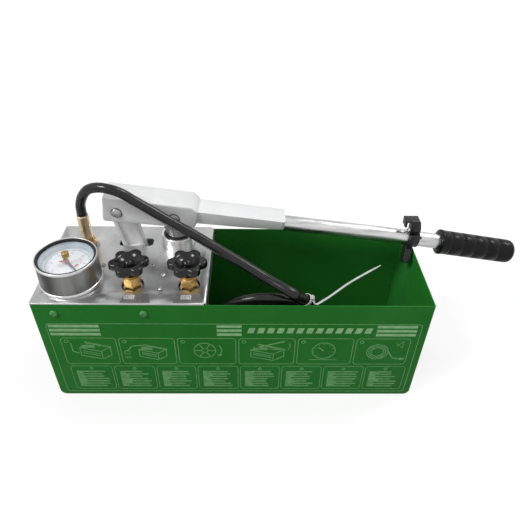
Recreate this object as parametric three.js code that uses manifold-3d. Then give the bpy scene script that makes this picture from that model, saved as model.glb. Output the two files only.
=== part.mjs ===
// Hydrostatic test pump: a hand pump under a steel deck at one end of an open sheet-steel tank.
// Millimetres, +Z up, origin at the centre of the tank's underside, +X towards the lever's grip.
import * as THREE from "three";
import { mergeVertices } from "three/addons/utils/BufferGeometryUtils.js";
import Module from "manifold-3d";

const wasm = await Module();
wasm.setup();

// Fits between pieces
const seatGap = 0.3; // between pieces that touch
const cutOverrun = 3; // how far a cutting tool runs past a face
const mergeDistance = 0.001;

// Numbers of sides on round work; an arc in an outline gets two for each step
const roundSides = 28;
const middleSides = 20;
const smallSides = 14;
const tinySides = 8;
const cornerSteps = 2;
const arcSteps = 5;
const domeSteps = 2;

// Tank
const tankLength = 500;
const tankWidth = 164;
const tankHeight = 176;
const tankSheet = 1.5;
const tankBend = 9;

// Deck over the pump end of the tank
const deckPastValve = 24.4; // how far it reaches beyond the second valve
const deckSheet = 2.4;
const deckBend = 3.2;
const deckFlange = 21; // how far the flanges reach below the rim
const deckRelief = 4; // corner gap between flanges

// Dome-headed screws through the tank wall and the deck's flange
const flangeScrewFromEnd = 26.7;
const flangeScrewPitch = 110.6;
const flangeScrewDrop = 14;
const flangeHeadRadius = 5;
const flangeHeadHeight = 2.6;
const flangeShankRadius = 2;
const flangeShankTail = 3;

// Small domed screws that hold the deck to the pump body
const deckHeadRadius = 3.4;
const deckHeadHeight = 1.7;
const deckShankRadius = 2;
const deckShankDepth = 10;
const deckEarRadius = 8;
const deckEarWebHalfWidth = 5;
const deckScrewFrontInset = 28; // from the front wall
const deckScrewPitch = 26;
const deckScrewRearInset = 73.8;
const deckScrewRearLeftFromEnd = 74.4;
const deckScrewRearRightFromEnd = 139.5;

// Pump body, a flat casting under the deck
const bodyDepth = 30;
const bodyCorner = 6;
const valveBarHalfWidth = 16;
const valveBarEnd = 17;
const barrelBossRadius = 27;
const hoseBossRadius = 15;
const hoseLegHalfWidth = 14;
const pumpLegHalfWidth = 15;

// Pump barrel, seal and plunger
const plungerFromEnd = 168.5;
const leverInset = 38; // from the back face of the tank
const barrelRadius = 22.5;
const barrelRise = 17.8; // above the deck
const barrelDrop = 46; // below the pump body
const barrelChamfer = 1.5;
const barrelCollarWidth = 4.5;
const barrelCollarHeight = 6;
const plungerRadius = 15.5;
const plungerRest = 10; // above the barrel's foot
const plungerShoulderDrop = 16; // below the pin
const plungerEyeHalfWidth = 13;
const plungerGroove = 2.2;
const plungerGrooveHeight = 4;
const plungerGrooveRise = 6;
const wiperSeatWidth = 2.9;
const wiperSeatDepth = 8;
const wiperProud = 3.9; // above the barrel
const wiperRound = 1.2;

// Foot valve, suction tube and strainer under the barrel
const footStubHeight = 7;
const footFlangeHeight = 8;
const footNozzleRadius = 4.7;
const footNozzleShare = 0.32; // of the suction tube's length
const footConeHeight = 7;
const footConeRadius = 9;
const footBoreRadius = 3;
const ballRadius = 5;
const ballCageRadius = 8;
const suctionWall = 2;
const strainerRadius = 13;
const strainerWall = 1.4;
const strainerClearance = 3.5; // over the tank's floor
const strainerHeight = 22;
const strainerShoulder = 7;
const strainerSpigotShare = 0.16; // of the suction tube's length
const strainerSlots = 8;
const strainerSlotHalfWidth = 1.6;
const strainerSlotMargin = 4;

// Lever, in its own frame: origin at the plunger's pin, X along the arm
const leverPinRise = 53.3; // above the deck
const linkPinReach = 74.5; // from the plunger's pin back to the link's top pin
const linkPinDrop = 1;
const pinRadius = 6;
const pinHeadRadius = 8;
const pinHeadThickness = 2.6;
const headWidth = 41.6;
const headSheet = 2.5;
const headLeft = 92;
const headRight = 30.3;
const headTop = 20.5;
const headBendStart = 22;
const headDropLeft = 15;
const headDropRight = 11.4;
const headCorner = 5;
const headEdgeRound = 3;
const armStart = 17.5;
const armEnd = 147.5;
const armSheet = 1.4;
const armMiddle = 94;
const armCorner = 11;
const armWallStart = 6.5; // side walls below the axis at the head end
const armWallMiddle = 3.6;
const armWallEnd = -0.4;
const tubeRadius = 10.5;
const tubeWall = 2;
const tubeStart = 45;
const tubeLift = 1; // the tube's axis above the pins' line
const tubeBendBeforeWall = 19.5;
const tubeBendAngle = THREE.MathUtils.degToRad(1.63);
const gripAfterWall = 36.5;
const gripLength = 119;
const gripRadius = 17.2;
const gripEndRadius = 16.8;
const gripLipRadius = 18.2;
const gripLipWidth = 4;
const gripRound = 8;
const gripEndWall = 5;
const gripGrooves = 5;
const gripGroovePitch = 19;
const gripGrooveDepth = 0.7;
const gripGrooveHalfWidth = 1;

// Link between the lever's end and the pump body
const linkPinFromEnd = 110.6;
const linkPinDepth = 18; // below the pump body's top
const linkPinRadius = 5;
const linkHalfWidth = 15;
const linkThickness = 15;
const linkBevel = 2;
const openPivotPlay = 5.2; // the play of the link's bottom eye round its pin
const windowLeft = 28.6; // from the link's lower pin
const windowRight = 23;
const windowHalfWidth = 13;
const windowWall = 9;
const slotLeft = 26.6;
const slotRight = 20.8;
const slotHalfWidth = 10.5;
const slotCorner = 5;

// Transport clip on the handle tube, resting on the tank's right rim
const clipWall = 1.6;
const clipLeft = 7;
const clipRight = 9;
const clipFlangeStart = 4.6;
const clipFlangeRadius = 14.6;
const clipLegTurn = THREE.MathUtils.degToRad(36); // the leg hangs turned to the front
const clipLegLeft = 11.8;
const clipLegRight = 0.8;
const clipLegLength = 37;
const clipLegHalfWidth = 6;
const clipStemLeft = 1;
const clipStemRight = 5.6;
const clipStemHalfWidth = 5;
const clipTabTop = 28.5;
const clipTabThickness = 3;
const clipTabLeft = 7.6;
const clipTabRight = 6.4;
const clipTabHalfWidth = 7;
const clipTabDrop = 8;
const clipScrewOffset = 4;
const clipScrewHeadRadius = 2.6;
const clipScrewHeadHeight = 2.4;
const clipScrewShankRadius = 1.2;

// Stop valves
const valveFromEnd = 120;
const valvePitch = 71.6;
const valveInset = 35.6; // from the front face of the tank
const valveHoleRadius = 15.5;
const bonnetAcrossFlats = 24;
const bonnetRise = 11.3; // above the deck
const bonnetChamfer = 1.6;
const bonnetThreadRadius = 9;
const bonnetThreadDepth = 17;
const spindleRadius = 5;
const spindleRise = 35.3; // above the deck
const spindleDepth = 15; // below the pump body's top
const spindleTip = 3;
const knobHubRadius = 7.6;
const knobRise = 24.3; // above the deck
const knobHeight = 16;
const knobLobes = 6;
const knobLobeRadius = 7.6;
const knobLobeReach = 17.2;
const knobHollowRadius = 5;
const knobBevel = 2.2;
const knobDishRadius = 13.5;
const knobDishDepth = 4;
const knobDishHub = 8.4;

// Pressure gauge
const gaugeFromEnd = 39.8;
const gaugeInset = 47;
const gaugeRadius = 39;
const gaugeWall = 2;
const gaugeHeight = 34.2;
const gaugeFloor = 2;
const gaugeBaseRadius = 40;
const gaugeBaseHeight = 3;
const gaugeLedge = 1.6;
const gaugeHoleRadius = 6.3;
const dialThickness = 1.2;
const dialDepth = 9.7; // from the bezel's rim down to the dial's face
const spacerHeight = 5.2;
const windowThickness = 1.3;
const gasketHeight = 1;
const gasketWidth = 2.4;
const bezelOverlap = 0.7;
const bezelHeight = 8;
const bezelLipWidth = 3.2;
const bezelLipThickness = 1;
const pointerLength = 24;
const pointerTail = 9;
const pointerRootHalfWidth = 1.5;
const pointerTipHalfWidth = 0.4;
const pointerThickness = 0.7;
const pointerRise = 1.6;
const pointerHubRadius = 2.8;
const pointerTurn = THREE.MathUtils.degToRad(-48);
const arborRadius = 1.1;
const movementRadius = 14;
const dragLength = 10;
const dragRise = 3.4;
const dragTurn = THREE.MathUtils.degToRad(188);
const resetKnobRadius = 4.5;
const resetKnobHeight = 7.6;
const resetKnobChamfer = 0.8;
const stemRadius = 6;
const stemCollarRadius = 9;
const stemCollarHeight = 2;
const stemDepth = 24;

// Hose outlet on the deck
const hoseFromEnd = 45.5;
const hoseShare = 0.3766; // of the way from the gauge to the back face
const hoseHoleRadius = 14;
const hoseNutAcrossFlats = 24;
const hoseNutHeight = 16;
const hoseNutChamfer = 1.4;
const hoseStemRadius = 6;
const hoseStemDepth = 16;
const ferruleRadius = 7.8;
const ferruleCrimp = 0.5;
const ferruleLength = 35.7;
const ferruleRings = 3;
const ferruleBand = 6.5;

// Hose: its free run follows points chosen by hand, its coil is worked out
const hoseRadius = 6.5;
const hoseLength = 1500;
const hoseRunSides = 10;
const hoseRunSteps = 30;
// X, Y and height over the tank's rim
const hoseRoute = [
  [-203.4, 34, 71.5],
  [-197.3, 31.5, 85.4],
  [-186.5, 26.5, 98.1],
  [-171.3, 20.5, 105],
  [-156.7, 16.4, 105.3],
  [-142.5, 15.2, 99.9],
  [-128.4, 14.4, 90.3],
  [-110.8, 12, 79.5],
  [-91, 6.5, 69.1],
  [-71.8, 0.5, 60.2],
  [-52, -6.5, 52.1],
  [-26.3, -18, 41.8],
  [10.3, -35.5, 28.4],
  [44, -53, 16.4],
];
const coilX = 42.5;
const coilInset = 16; // from the tank's front face to the middle of the hose
const coilTopDrop = 1.4; // below the rim
const coilTopRadius = 84.4;
const coilPitch = 14;
const coilNarrowing = 14; // the loops are narrower than they are tall
const coilLean = THREE.MathUtils.degToRad(70);
const coilStart = THREE.MathUtils.degToRad(32);
const coilStepsPerLoop = 24;
const coilSides = 6;
const coilTuckIn = 8;
const coilTuckBack = 25;
const coilTuckTurn = THREE.MathUtils.degToRad(85);
const coilLeastGap = 0.4;
const endFerruleLength = 30;
const endNutAcrossFlats = 22;
const endNutLength = 15;
const endNutBore = 7;

// Cable tie round the coil's two uppermost strands
const tieStep = 1; // steps past the coil's start
const tieThickness = 1.3;
const tieSlack = 0.8;
const tieWidth = 4.8;
const tieHeadLength = 7;
const tieHeadHeight = 5;
const tieTailSteps = 10;
// X, Y and height over the tank's rim
const tieTailRoute = [
  [102, -70, -8],
  [112, -62, -10],
  [126, -48, -12.4],
  [150, -26, -12.2],
  [176, -8, -9.6],
  [200, 8, -8],
];

// Places worked out from the sizes above
const tankEnd = tankLength / 2;
const tankSide = tankWidth / 2;
const innerSide = tankSide - tankSheet - seatGap;
const deckUnder = tankHeight + seatGap;
const deckTop = deckUnder + deckSheet;
const deckRight = valveFromEnd + valvePitch + deckPastValve - tankEnd;
const bodyTop = deckUnder - seatGap;
const bodyBottom = bodyTop - bodyDepth;
const plungerX = plungerFromEnd - tankEnd;
const leverY = tankSide - leverInset;
const leverPinHeight = deckTop + leverPinRise;
const linkPinHeight = bodyTop - linkPinDepth;
const barrelTop = deckTop + barrelRise;
const barrelBottom = bodyBottom - barrelDrop;
const plungerBottom = barrelBottom + plungerRest;
const plungerShoulder = leverPinHeight - plungerShoulderDrop;
const wiperTop = barrelTop + wiperProud;
const strainerBottom = tankSheet + strainerClearance;
const suctionBottom = strainerBottom + strainerHeight + strainerShoulder;
const gaugeX = gaugeFromEnd - tankEnd;
const gaugeY = gaugeInset - tankSide;
const hoseX = hoseFromEnd - tankEnd;
const hoseY = THREE.MathUtils.lerp(gaugeY + gaugeBaseRadius, tankSide, hoseShare);
const hoseNutFoot = deckTop + seatGap;
const hoseNutTop = hoseNutFoot + hoseNutHeight;
const ferruleFoot = hoseNutTop + seatGap;
const ferruleTop = ferruleFoot + ferruleLength;
const valveY = valveInset - tankSide;
const valveXs = [valveFromEnd - tankEnd, valveFromEnd - tankEnd + valvePitch];
const linkPinX = linkPinFromEnd - tankEnd;
const bonnetTop = deckTop + bonnetRise;
const spindleTop = deckTop + spindleRise;
const spindleBottom = bodyTop - spindleDepth;
const knobBottom = deckTop + knobRise;
const barrelBore = plungerRadius + seatGap;
const clipRadius = tubeRadius + seatGap + clipWall;
const flangeScrewXs = [flangeScrewFromEnd - tankEnd, flangeScrewFromEnd - tankEnd + flangeScrewPitch];
const flangeScrewZ = tankHeight - flangeScrewDrop;
const deckScrewX = (valveXs[0] + valveXs[1]) / 2;
const deckScrewSpots = [
  [deckScrewX, deckScrewFrontInset - tankSide],
  [deckScrewX, deckScrewFrontInset + deckScrewPitch - tankSide],
  [deckScrewRearLeftFromEnd - tankEnd, deckScrewRearInset - tankSide],
  [deckScrewRearRightFromEnd - tankEnd, deckScrewRearInset - tankSide],
];

// The lever's slope lets the clip rest on the rim: each pass brings it closer.
const slopePasses = 6;
const wallReach = tankEnd - plungerX;
let leverSlope = 0;
for (let pass = 0; pass < slopePasses; pass += 1) {
  const bendDrop = tubeBendBeforeWall * Math.tan(tubeBendAngle);
  const restHeight = tankHeight + seatGap + clipRadius / Math.cos(leverSlope + tubeBendAngle);
  const fall = leverPinHeight + tubeLift / Math.cos(leverSlope) - bendDrop - restHeight;
  leverSlope = Math.atan(fall / wallReach);
}
const wallAlong = wallReach / Math.cos(leverSlope);
const tubeBendAt = wallAlong - tubeBendBeforeWall;
const gripStart = gripAfterWall + tubeBendBeforeWall; // from the tube's bend

const linkTop = new THREE.Vector3(-linkPinReach, 0, -linkPinDrop)
  .applyAxisAngle(new THREE.Vector3(0, 1, 0), leverSlope)
  .add(new THREE.Vector3(plungerX, leverY, leverPinHeight));
const linkLength = Math.hypot(linkTop.x - linkPinX, linkTop.z - linkPinHeight);
const linkLean = Math.atan2(linkPinX - linkTop.x, linkTop.z - linkPinHeight);

// Finishes
const greenPaint = finish(0x1f5a25, 0.45, 0.1);
const stainless = finish(0xc9c9c7, 0.3, 0.9);
const zincSteel = finish(0xd2d4d6, 0.35, 0.9);
const darkSteel = finish(0x6b6d70, 0.3, 0.9);
const castAluminium = finish(0xb4b6b8, 0.55, 0.8);
const leverSilver = finish(0xc4c6c7, 0.5, 0.6);
const brass = finish(0xb08a45, 0.35, 0.9);
const blackRubber = finish(0x1b1b1c, 0.75, 0);
const blackPlastic = finish(0x121213, 0.25, 0);
const whitePlastic = finish(0xd9dcd8, 0.5, 0);
const dialWhite = finish(0xf2f4f6, 0.6, 0);
const clearGlass = finish(0xdfe8ee, 0.05, 0);
const pointerBlue = finish(0x2c3f55, 0.4, 0);
const pointerRed = finish(0xc23a34, 0.4, 0);

function finish(color, roughness, metalness) {
  return new THREE.MeshStandardMaterial({ color, roughness, metalness });
}

// The closed solid of a geometry, its shared corners merged.
function solidOf(geometry) {
  const loose = geometry.index ? geometry.toNonIndexed() : geometry;
  const plain = new THREE.BufferGeometry();
  plain.setAttribute("position", loose.getAttribute("position"));
  const merged = mergeVertices(plain, mergeDistance);
  const mesh = new wasm.Mesh({
    numProp: 3,
    vertProperties: merged.attributes.position.array,
    triVerts: new Uint32Array(merged.index.array),
  });
  return new wasm.Manifold(mesh);
}

// Its geometry, flat faces freed of needless points.
function geometryOf(solid) {
  const mesh = solid.simplify(mergeDistance).getMesh();
  const geometry = new THREE.BufferGeometry();
  geometry.setAttribute("position", new THREE.BufferAttribute(mesh.vertProperties, 3));
  geometry.setIndex(new THREE.BufferAttribute(mesh.triVerts, 1));
  return geometry;
}

function join(first, ...others) {
  const whole = others.reduce((sum, other) => sum.add(solidOf(other)), solidOf(first));
  return geometryOf(whole);
}

function cut(base, ...tools) {
  const left = tools.reduce((rest, tool) => rest.subtract(solidOf(tool)), solidOf(base));
  return geometryOf(left);
}

// Names a mesh and hangs it in the scene graph.
function addPiece(parent, name, geometry, material) {
  const mesh = new THREE.Mesh(geometry, material);
  mesh.name = name;
  parent.add(mesh);
  return mesh;
}

// An outline in X and Y, extruded from one height to another.
function prism(shape, bottom, top, curveSegments = cornerSteps) {
  const options = { depth: top - bottom, bevelEnabled: false, curveSegments };
  return new THREE.ExtrudeGeometry(shape, options).translate(0, 0, bottom);
}

// An outline in X and Z, extruded from front to back along Y.
function slab(shape, front, back, curveSegments = cornerSteps) {
  const options = { depth: back - front, bevelEnabled: false, curveSegments };
  return new THREE.ExtrudeGeometry(shape, options).rotateX(Math.PI / 2).translate(0, back, 0);
}

// A profile of radius and height, turned about Z.
function turned(profile, sides = roundSides) {
  const points = profile.map(([radius, height]) => new THREE.Vector2(radius, height));
  return new THREE.LatheGeometry(points, sides).rotateX(Math.PI / 2);
}

function rod(radius, bottom, top, sides = smallSides) {
  return turned([[0, bottom], [radius, bottom], [radius, top], [0, top]], sides);
}

function pipe(outer, bore, bottom, top, sides = roundSides) {
  return turned([[bore, bottom], [outer, bottom], [outer, top], [bore, top], [bore, bottom]], sides);
}

// A rod along Y through a point in X and Z.
function crossRod(radius, x, z, front, back, sides = smallSides) {
  return rod(radius, front, back, sides).rotateX(-Math.PI / 2).translate(x, 0, z);
}

// A rod along X on the axis.
function longRod(radius, left, right, sides = smallSides) {
  return rod(radius, left, right, sides).rotateY(Math.PI / 2);
}

function rectangle(left, low, right, high, corner = 0) {
  const shape = new THREE.Shape();
  if (corner === 0) {
    shape.moveTo(left, low).lineTo(right, low).lineTo(right, high).lineTo(left, high);
    return shape;
  }
  shape.absarc(right - corner, low + corner, corner, -Math.PI / 2, 0);
  shape.absarc(right - corner, high - corner, corner, 0, Math.PI / 2);
  shape.absarc(left + corner, high - corner, corner, Math.PI / 2, Math.PI);
  shape.absarc(left + corner, low + corner, corner, Math.PI, Math.PI * 1.5);
  return shape;
}

function hexagonPrism(acrossFlats, bottom, top) {
  return rod(acrossFlats / Math.sqrt(3), bottom, top, 6);
}

// A hexagon whose corners are turned off at the top.
function hexagonNut(acrossFlats, bottom, top, chamfer) {
  const corner = acrossFlats / Math.sqrt(3);
  const blank = hexagonPrism(acrossFlats, bottom, top);
  const turnedDown = turned([
    [0, bottom - cutOverrun],
    [corner + seatGap, bottom - cutOverrun],
    [corner + seatGap, top - chamfer],
    [acrossFlats / 2, top],
    [0, top],
  ]);
  return geometryOf(solidOf(blank).intersect(solidOf(turnedDown)));
}

// A domed screw whose head sits on the plane z = 0.
function domedScrew(headRadius, headHeight, shankRadius, shankLength) {
  const profile = [[0, -shankLength], [shankRadius, -shankLength], [shankRadius, 0]];
  for (let step = 0; step < domeSteps; step += 1) {
    const turn = ((Math.PI / 2) * step) / domeSteps;
    profile.push([headRadius * Math.cos(turn), headHeight * Math.sin(turn)]);
  }
  profile.push([0, headHeight]);
  return turned(profile, tinySides + 2);
}

function addTank(parent) {
  const bend = tankBend;
  const wall = new THREE.Shape();
  wall.moveTo(-tankEnd, tankHeight);
  wall.lineTo(-tankEnd, bend);
  wall.absarc(bend - tankEnd, bend, bend, Math.PI, Math.PI * 1.5);
  wall.lineTo(tankEnd - bend, 0);
  wall.absarc(tankEnd - bend, bend, bend, Math.PI * 1.5, Math.PI * 2);
  wall.lineTo(tankEnd, tankHeight);
  wall.lineTo(tankEnd - tankSheet, tankHeight);
  wall.lineTo(tankEnd - tankSheet, bend);
  wall.absarc(tankEnd - bend, bend, bend - tankSheet, 0, -Math.PI / 2, true);
  wall.lineTo(bend - tankEnd, tankSheet);
  wall.absarc(bend - tankEnd, bend, bend - tankSheet, -Math.PI / 2, -Math.PI, true);
  wall.lineTo(tankSheet - tankEnd, tankHeight);
  addPiece(parent, "tank_wrap", slab(wall, -innerSide, innerSide), greenPaint);

  const end = new THREE.Shape();
  end.moveTo(tankEnd, tankHeight);
  end.lineTo(-tankEnd, tankHeight);
  end.lineTo(-tankEnd, bend);
  end.absarc(bend - tankEnd, bend, bend, Math.PI, Math.PI * 1.5);
  end.absarc(tankEnd - bend, bend, bend, Math.PI * 1.5, Math.PI * 2);
  const hole = flangeShankRadius + seatGap;
  for (const [name, front] of [["tank_front_plate", -tankSide], ["tank_back_plate", tankSide - tankSheet]]) {
    const plate = slab(end, front, front + tankSheet);
    const holes = flangeScrewXs.map((x) =>
      crossRod(hole, x, flangeScrewZ, front - cutOverrun, front + tankSheet + cutOverrun, tinySides),
    );
    addPiece(parent, name, cut(plate, ...holes), greenPaint);
  }
}

function addDeck(parent) {
  const under = deckUnder;
  const foot = tankHeight - deckFlange;
  const strip = new THREE.Shape();
  strip.moveTo(-tankEnd, under);
  strip.lineTo(deckRight - deckSheet, under);
  strip.lineTo(deckRight - deckSheet, foot);
  strip.lineTo(deckRight, foot);
  strip.lineTo(deckRight, deckTop - deckBend);
  strip.absarc(deckRight - deckBend, deckTop - deckBend, deckBend, 0, Math.PI / 2);
  strip.lineTo(-tankEnd, deckTop);
  const sheet = slab(strip, -tankSide, tankSide);
  const flangeLeft = tankSheet + deckRelief - tankEnd;
  const flangeRight = deckRight - deckSheet - deckRelief;
  const flange = rectangle(flangeLeft, foot, flangeRight, under + deckSheet / 2);
  const flanges = [slab(flange, -innerSide, deckSheet - innerSide), slab(flange, innerSide - deckSheet, innerSide)];
  const inside = rectangle(deckRight / 2 - tankEnd / 2, foot - cutOverrun, deckRight + cutOverrun, under);
  const clearance = [
    slab(inside, -tankSide - cutOverrun, -innerSide),
    slab(inside, innerSide, tankSide + cutOverrun),
  ];
  const low = under - cutOverrun;
  const high = deckTop + cutOverrun;
  const slot = rectangle(
    linkPinX - slotLeft,
    leverY - slotHalfWidth,
    linkPinX + slotRight,
    leverY + slotHalfWidth,
    slotCorner,
  );
  const holes = [
    rod(barrelRadius + seatGap, low, high, roundSides).translate(plungerX, leverY, 0),
    rod(hoseHoleRadius, low, high).translate(hoseX, hoseY, 0),
    rod(stemCollarRadius + seatGap, low, high).translate(gaugeX, gaugeY, 0),
    prism(slot, low, high),
    ...valveXs.map((x) => rod(valveHoleRadius, low, high, roundSides).translate(x, valveY, 0)),
    ...deckScrewSpots.map(([x, y]) => rod(deckShankRadius + seatGap, low, high, tinySides).translate(x, y, 0)),
  ];
  const flangeHoles = flangeScrewXs.map((x) =>
    crossRod(flangeShankRadius + seatGap, x, flangeScrewZ, -tankSide - cutOverrun, tankSide + cutOverrun, tinySides),
  );
  const open = cut(sheet, ...clearance);
  addPiece(parent, "deck_plate", cut(join(open, ...flanges), ...holes, ...flangeHoles), stainless);
}

function addScrews(parent) {
  const reach = tankSheet + seatGap + deckSheet + flangeShankTail;
  for (const [side, y, turn] of [["front", -tankSide, Math.PI / 2], ["back", tankSide, -Math.PI / 2]]) {
    flangeScrewXs.forEach((x, index) => {
      const shape = domedScrew(flangeHeadRadius, flangeHeadHeight, flangeShankRadius, reach);
      const screw = addPiece(parent, `flange_screw_${side}_${index + 1}`, shape, greenPaint);
      screw.rotation.x = turn;
      screw.position.set(x, y + Math.sign(y) * seatGap, flangeScrewZ);
    });
  }
  deckScrewSpots.forEach(([x, y], index) => {
    const shape = domedScrew(deckHeadRadius, deckHeadHeight, deckShankRadius, deckSheet + deckShankDepth);
    const screw = addPiece(parent, `deck_screw_${index + 1}`, shape, zincSteel);
    screw.position.set(x, y, deckTop + seatGap);
  });
}

function addPumpBody(parent) {
  const block = (left, low, right, high) =>
    prism(rectangle(left, low, right, high, bodyCorner), bodyBottom, bodyTop);
  const web = (x, y) =>
    prism(rectangle(x - deckEarWebHalfWidth, valveY, x + deckEarWebHalfWidth, y), bodyBottom, bodyTop);
  const boss = (radius, x, y) => rod(radius, bodyBottom, bodyTop, middleSides).translate(x, y, 0);
  const barTop = valveY + valveBarHalfWidth;
  const bridgeLow = leverY - windowHalfWidth - windowWall;
  const bridgeHigh = leverY + windowHalfWidth + windowWall;
  const barLeft = gaugeX - valveBarEnd;
  const barRight = valveXs[1] + valveBarEnd;
  const casting = join(
    block(barLeft, valveY - valveBarHalfWidth, barRight, barTop),
    block(hoseX - hoseLegHalfWidth, valveY, hoseX + hoseLegHalfWidth, hoseY),
    block(plungerX - pumpLegHalfWidth, valveY, plungerX + pumpLegHalfWidth, leverY),
    block(hoseX, bridgeLow, plungerX, bridgeHigh),
    boss(barrelBossRadius, plungerX, leverY),
    boss(hoseBossRadius, hoseX, hoseY),
    boss(hoseBossRadius, gaugeX, gaugeY),
    ...deckScrewSpots.map(([x, y]) => boss(deckEarRadius, x, y)),
    ...deckScrewSpots.slice(2).map(([x, y]) => web(x, y)),
  );
  const low = bodyBottom - cutOverrun;
  const high = bodyTop + cutOverrun;
  const through = (radius, x, y, bottom) => rod(radius, bottom, high, radius > barrelRadius ? roundSides : smallSides).translate(x, y, 0);
  const window = rectangle(
    linkPinX - windowLeft,
    leverY - windowHalfWidth,
    linkPinX + windowRight,
    leverY + windowHalfWidth,
    bodyCorner / 2,
  );
  const bonnetDepth = bodyTop - bonnetThreadDepth - seatGap;
  const spindleBore = spindleBottom - spindleTip - seatGap;
  addPiece(
    parent,
    "pump_body",
    cut(
      casting,
      prism(window, low, high),
      through(barrelRadius + seatGap, plungerX, leverY, low),
      through(hoseStemRadius + seatGap, hoseX, hoseY, bodyTop - hoseStemDepth - seatGap),
      through(stemRadius + seatGap, gaugeX, gaugeY, bodyTop - stemDepth - seatGap),
      ...valveXs.map((x) => through(bonnetThreadRadius + seatGap, x, valveY, bonnetDepth)),
      ...valveXs.map((x) => through(spindleRadius + seatGap, x, valveY, spindleBore)),
      ...deckScrewSpots.map(([x, y]) =>
        rod(deckShankRadius + seatGap, bodyTop - deckShankDepth - seatGap, high, tinySides).translate(x, y, 0),
      ),
      crossRod(linkPinRadius + seatGap, linkPinX, linkPinHeight, bridgeLow - cutOverrun, bridgeHigh + cutOverrun),
    ),
    castAluminium,
  );
  const pin = crossRod(linkPinRadius, linkPinX, linkPinHeight, bridgeLow + seatGap, bridgeHigh - seatGap);
  addPiece(parent, "link_pin", pin, darkSteel);
}

function addBarrel(parent) {
  const seat = barrelBore + wiperSeatWidth;
  const collarTop = bodyBottom - seatGap;
  const barrel = turned([
    [barrelBore, barrelBottom],
    [barrelRadius, barrelBottom],
    [barrelRadius, collarTop - barrelCollarHeight],
    [barrelRadius + barrelCollarWidth, collarTop - barrelCollarHeight],
    [barrelRadius + barrelCollarWidth, collarTop],
    [barrelRadius, collarTop],
    [barrelRadius, barrelTop - barrelChamfer],
    [barrelRadius - barrelChamfer, barrelTop],
    [seat, barrelTop],
    [seat, barrelTop - wiperSeatDepth],
    [barrelBore, barrelTop - wiperSeatDepth],
    [barrelBore, barrelBottom],
  ]);
  addPiece(parent, "barrel", barrel, castAluminium);
  const wiperOuter = seat - seatGap;
  const wiperFoot = barrelTop - wiperSeatDepth + seatGap;
  const wiper = turned([
    [barrelBore, wiperFoot],
    [wiperOuter, wiperFoot],
    [wiperOuter, wiperTop - wiperRound * 2],
    [wiperOuter - wiperRound / 2, wiperTop - wiperRound / 2],
    [wiperOuter - wiperRound, wiperTop],
    [barrelBore + wiperRound / 2, wiperTop],
    [barrelBore, wiperTop - wiperRound],
    [barrelBore, wiperFoot],
  ]);
  addPiece(parent, "wiper_ring", wiper, blackRubber);

  const flangeTop = barrelBottom - seatGap;
  const flangeFoot = flangeTop - footFlangeHeight;
  const coneFoot = flangeFoot - footConeHeight;
  const suctionLength = coneFoot - seatGap - suctionBottom;
  const nozzleFoot = coneFoot - suctionLength * footNozzleShare;
  const seatHeight = flangeFoot + ballCageRadius / 2;
  const stubTop = barrelBottom + footStubHeight;
  const footValve = turned([
    [footBoreRadius, nozzleFoot],
    [footNozzleRadius, nozzleFoot],
    [footNozzleRadius, coneFoot],
    [footConeRadius, coneFoot],
    [footConeRadius + footConeHeight, flangeFoot],
    [barrelRadius, flangeFoot],
    [barrelRadius, flangeTop],
    [plungerRadius, flangeTop],
    [plungerRadius, stubTop],
    [ballCageRadius, stubTop],
    [ballCageRadius, seatHeight],
    [footBoreRadius, seatHeight - ballCageRadius + footBoreRadius],
    [footBoreRadius, nozzleFoot],
  ]);
  addPiece(parent, "foot_valve_body", footValve, brass);
  const ballHeight = seatHeight - ballCageRadius + (ballRadius + seatGap) * Math.SQRT2;
  const ball = addPiece(parent, "foot_valve_ball", new THREE.SphereGeometry(ballRadius, tinySides, tinySides / 2), zincSteel);
  ball.position.set(0, 0, ballHeight);
  const suctionBore = footNozzleRadius + seatGap;
  const suction = pipe(suctionBore + suctionWall, suctionBore, suctionBottom, coneFoot - seatGap, smallSides);
  addPiece(parent, "suction_tube", suction, whitePlastic);

  const shellTop = strainerBottom + strainerHeight;
  const shellBore = strainerRadius - strainerWall;
  const spigotTop = suctionBottom + suctionLength * strainerSpigotShare;
  const strainer = turned([
    [shellBore, strainerBottom],
    [strainerRadius, strainerBottom],
    [strainerRadius, shellTop],
    [suctionBore + suctionWall, suctionBottom - seatGap],
    [footNozzleRadius, suctionBottom - seatGap],
    [footNozzleRadius, spigotTop],
    [footBoreRadius, spigotTop],
    [footBoreRadius, shellTop - strainerWall],
    [shellBore, shellTop - strainerWall],
    [shellBore, strainerBottom],
  ]);
  const slots = [];
  for (let index = 0; index < strainerSlots; index += 1) {
    const slot = rectangle(
      -strainerSlotHalfWidth,
      strainerBottom + strainerSlotMargin,
      strainerSlotHalfWidth,
      shellTop - strainerSlotMargin,
    );
    slots.push(slab(slot, shellBore - strainerWall, strainerRadius + cutOverrun).rotateZ((index * Math.PI * 2) / strainerSlots));
  }
  addPiece(parent, "suction_strainer", cut(strainer, ...slots), blackPlastic);
}

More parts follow.
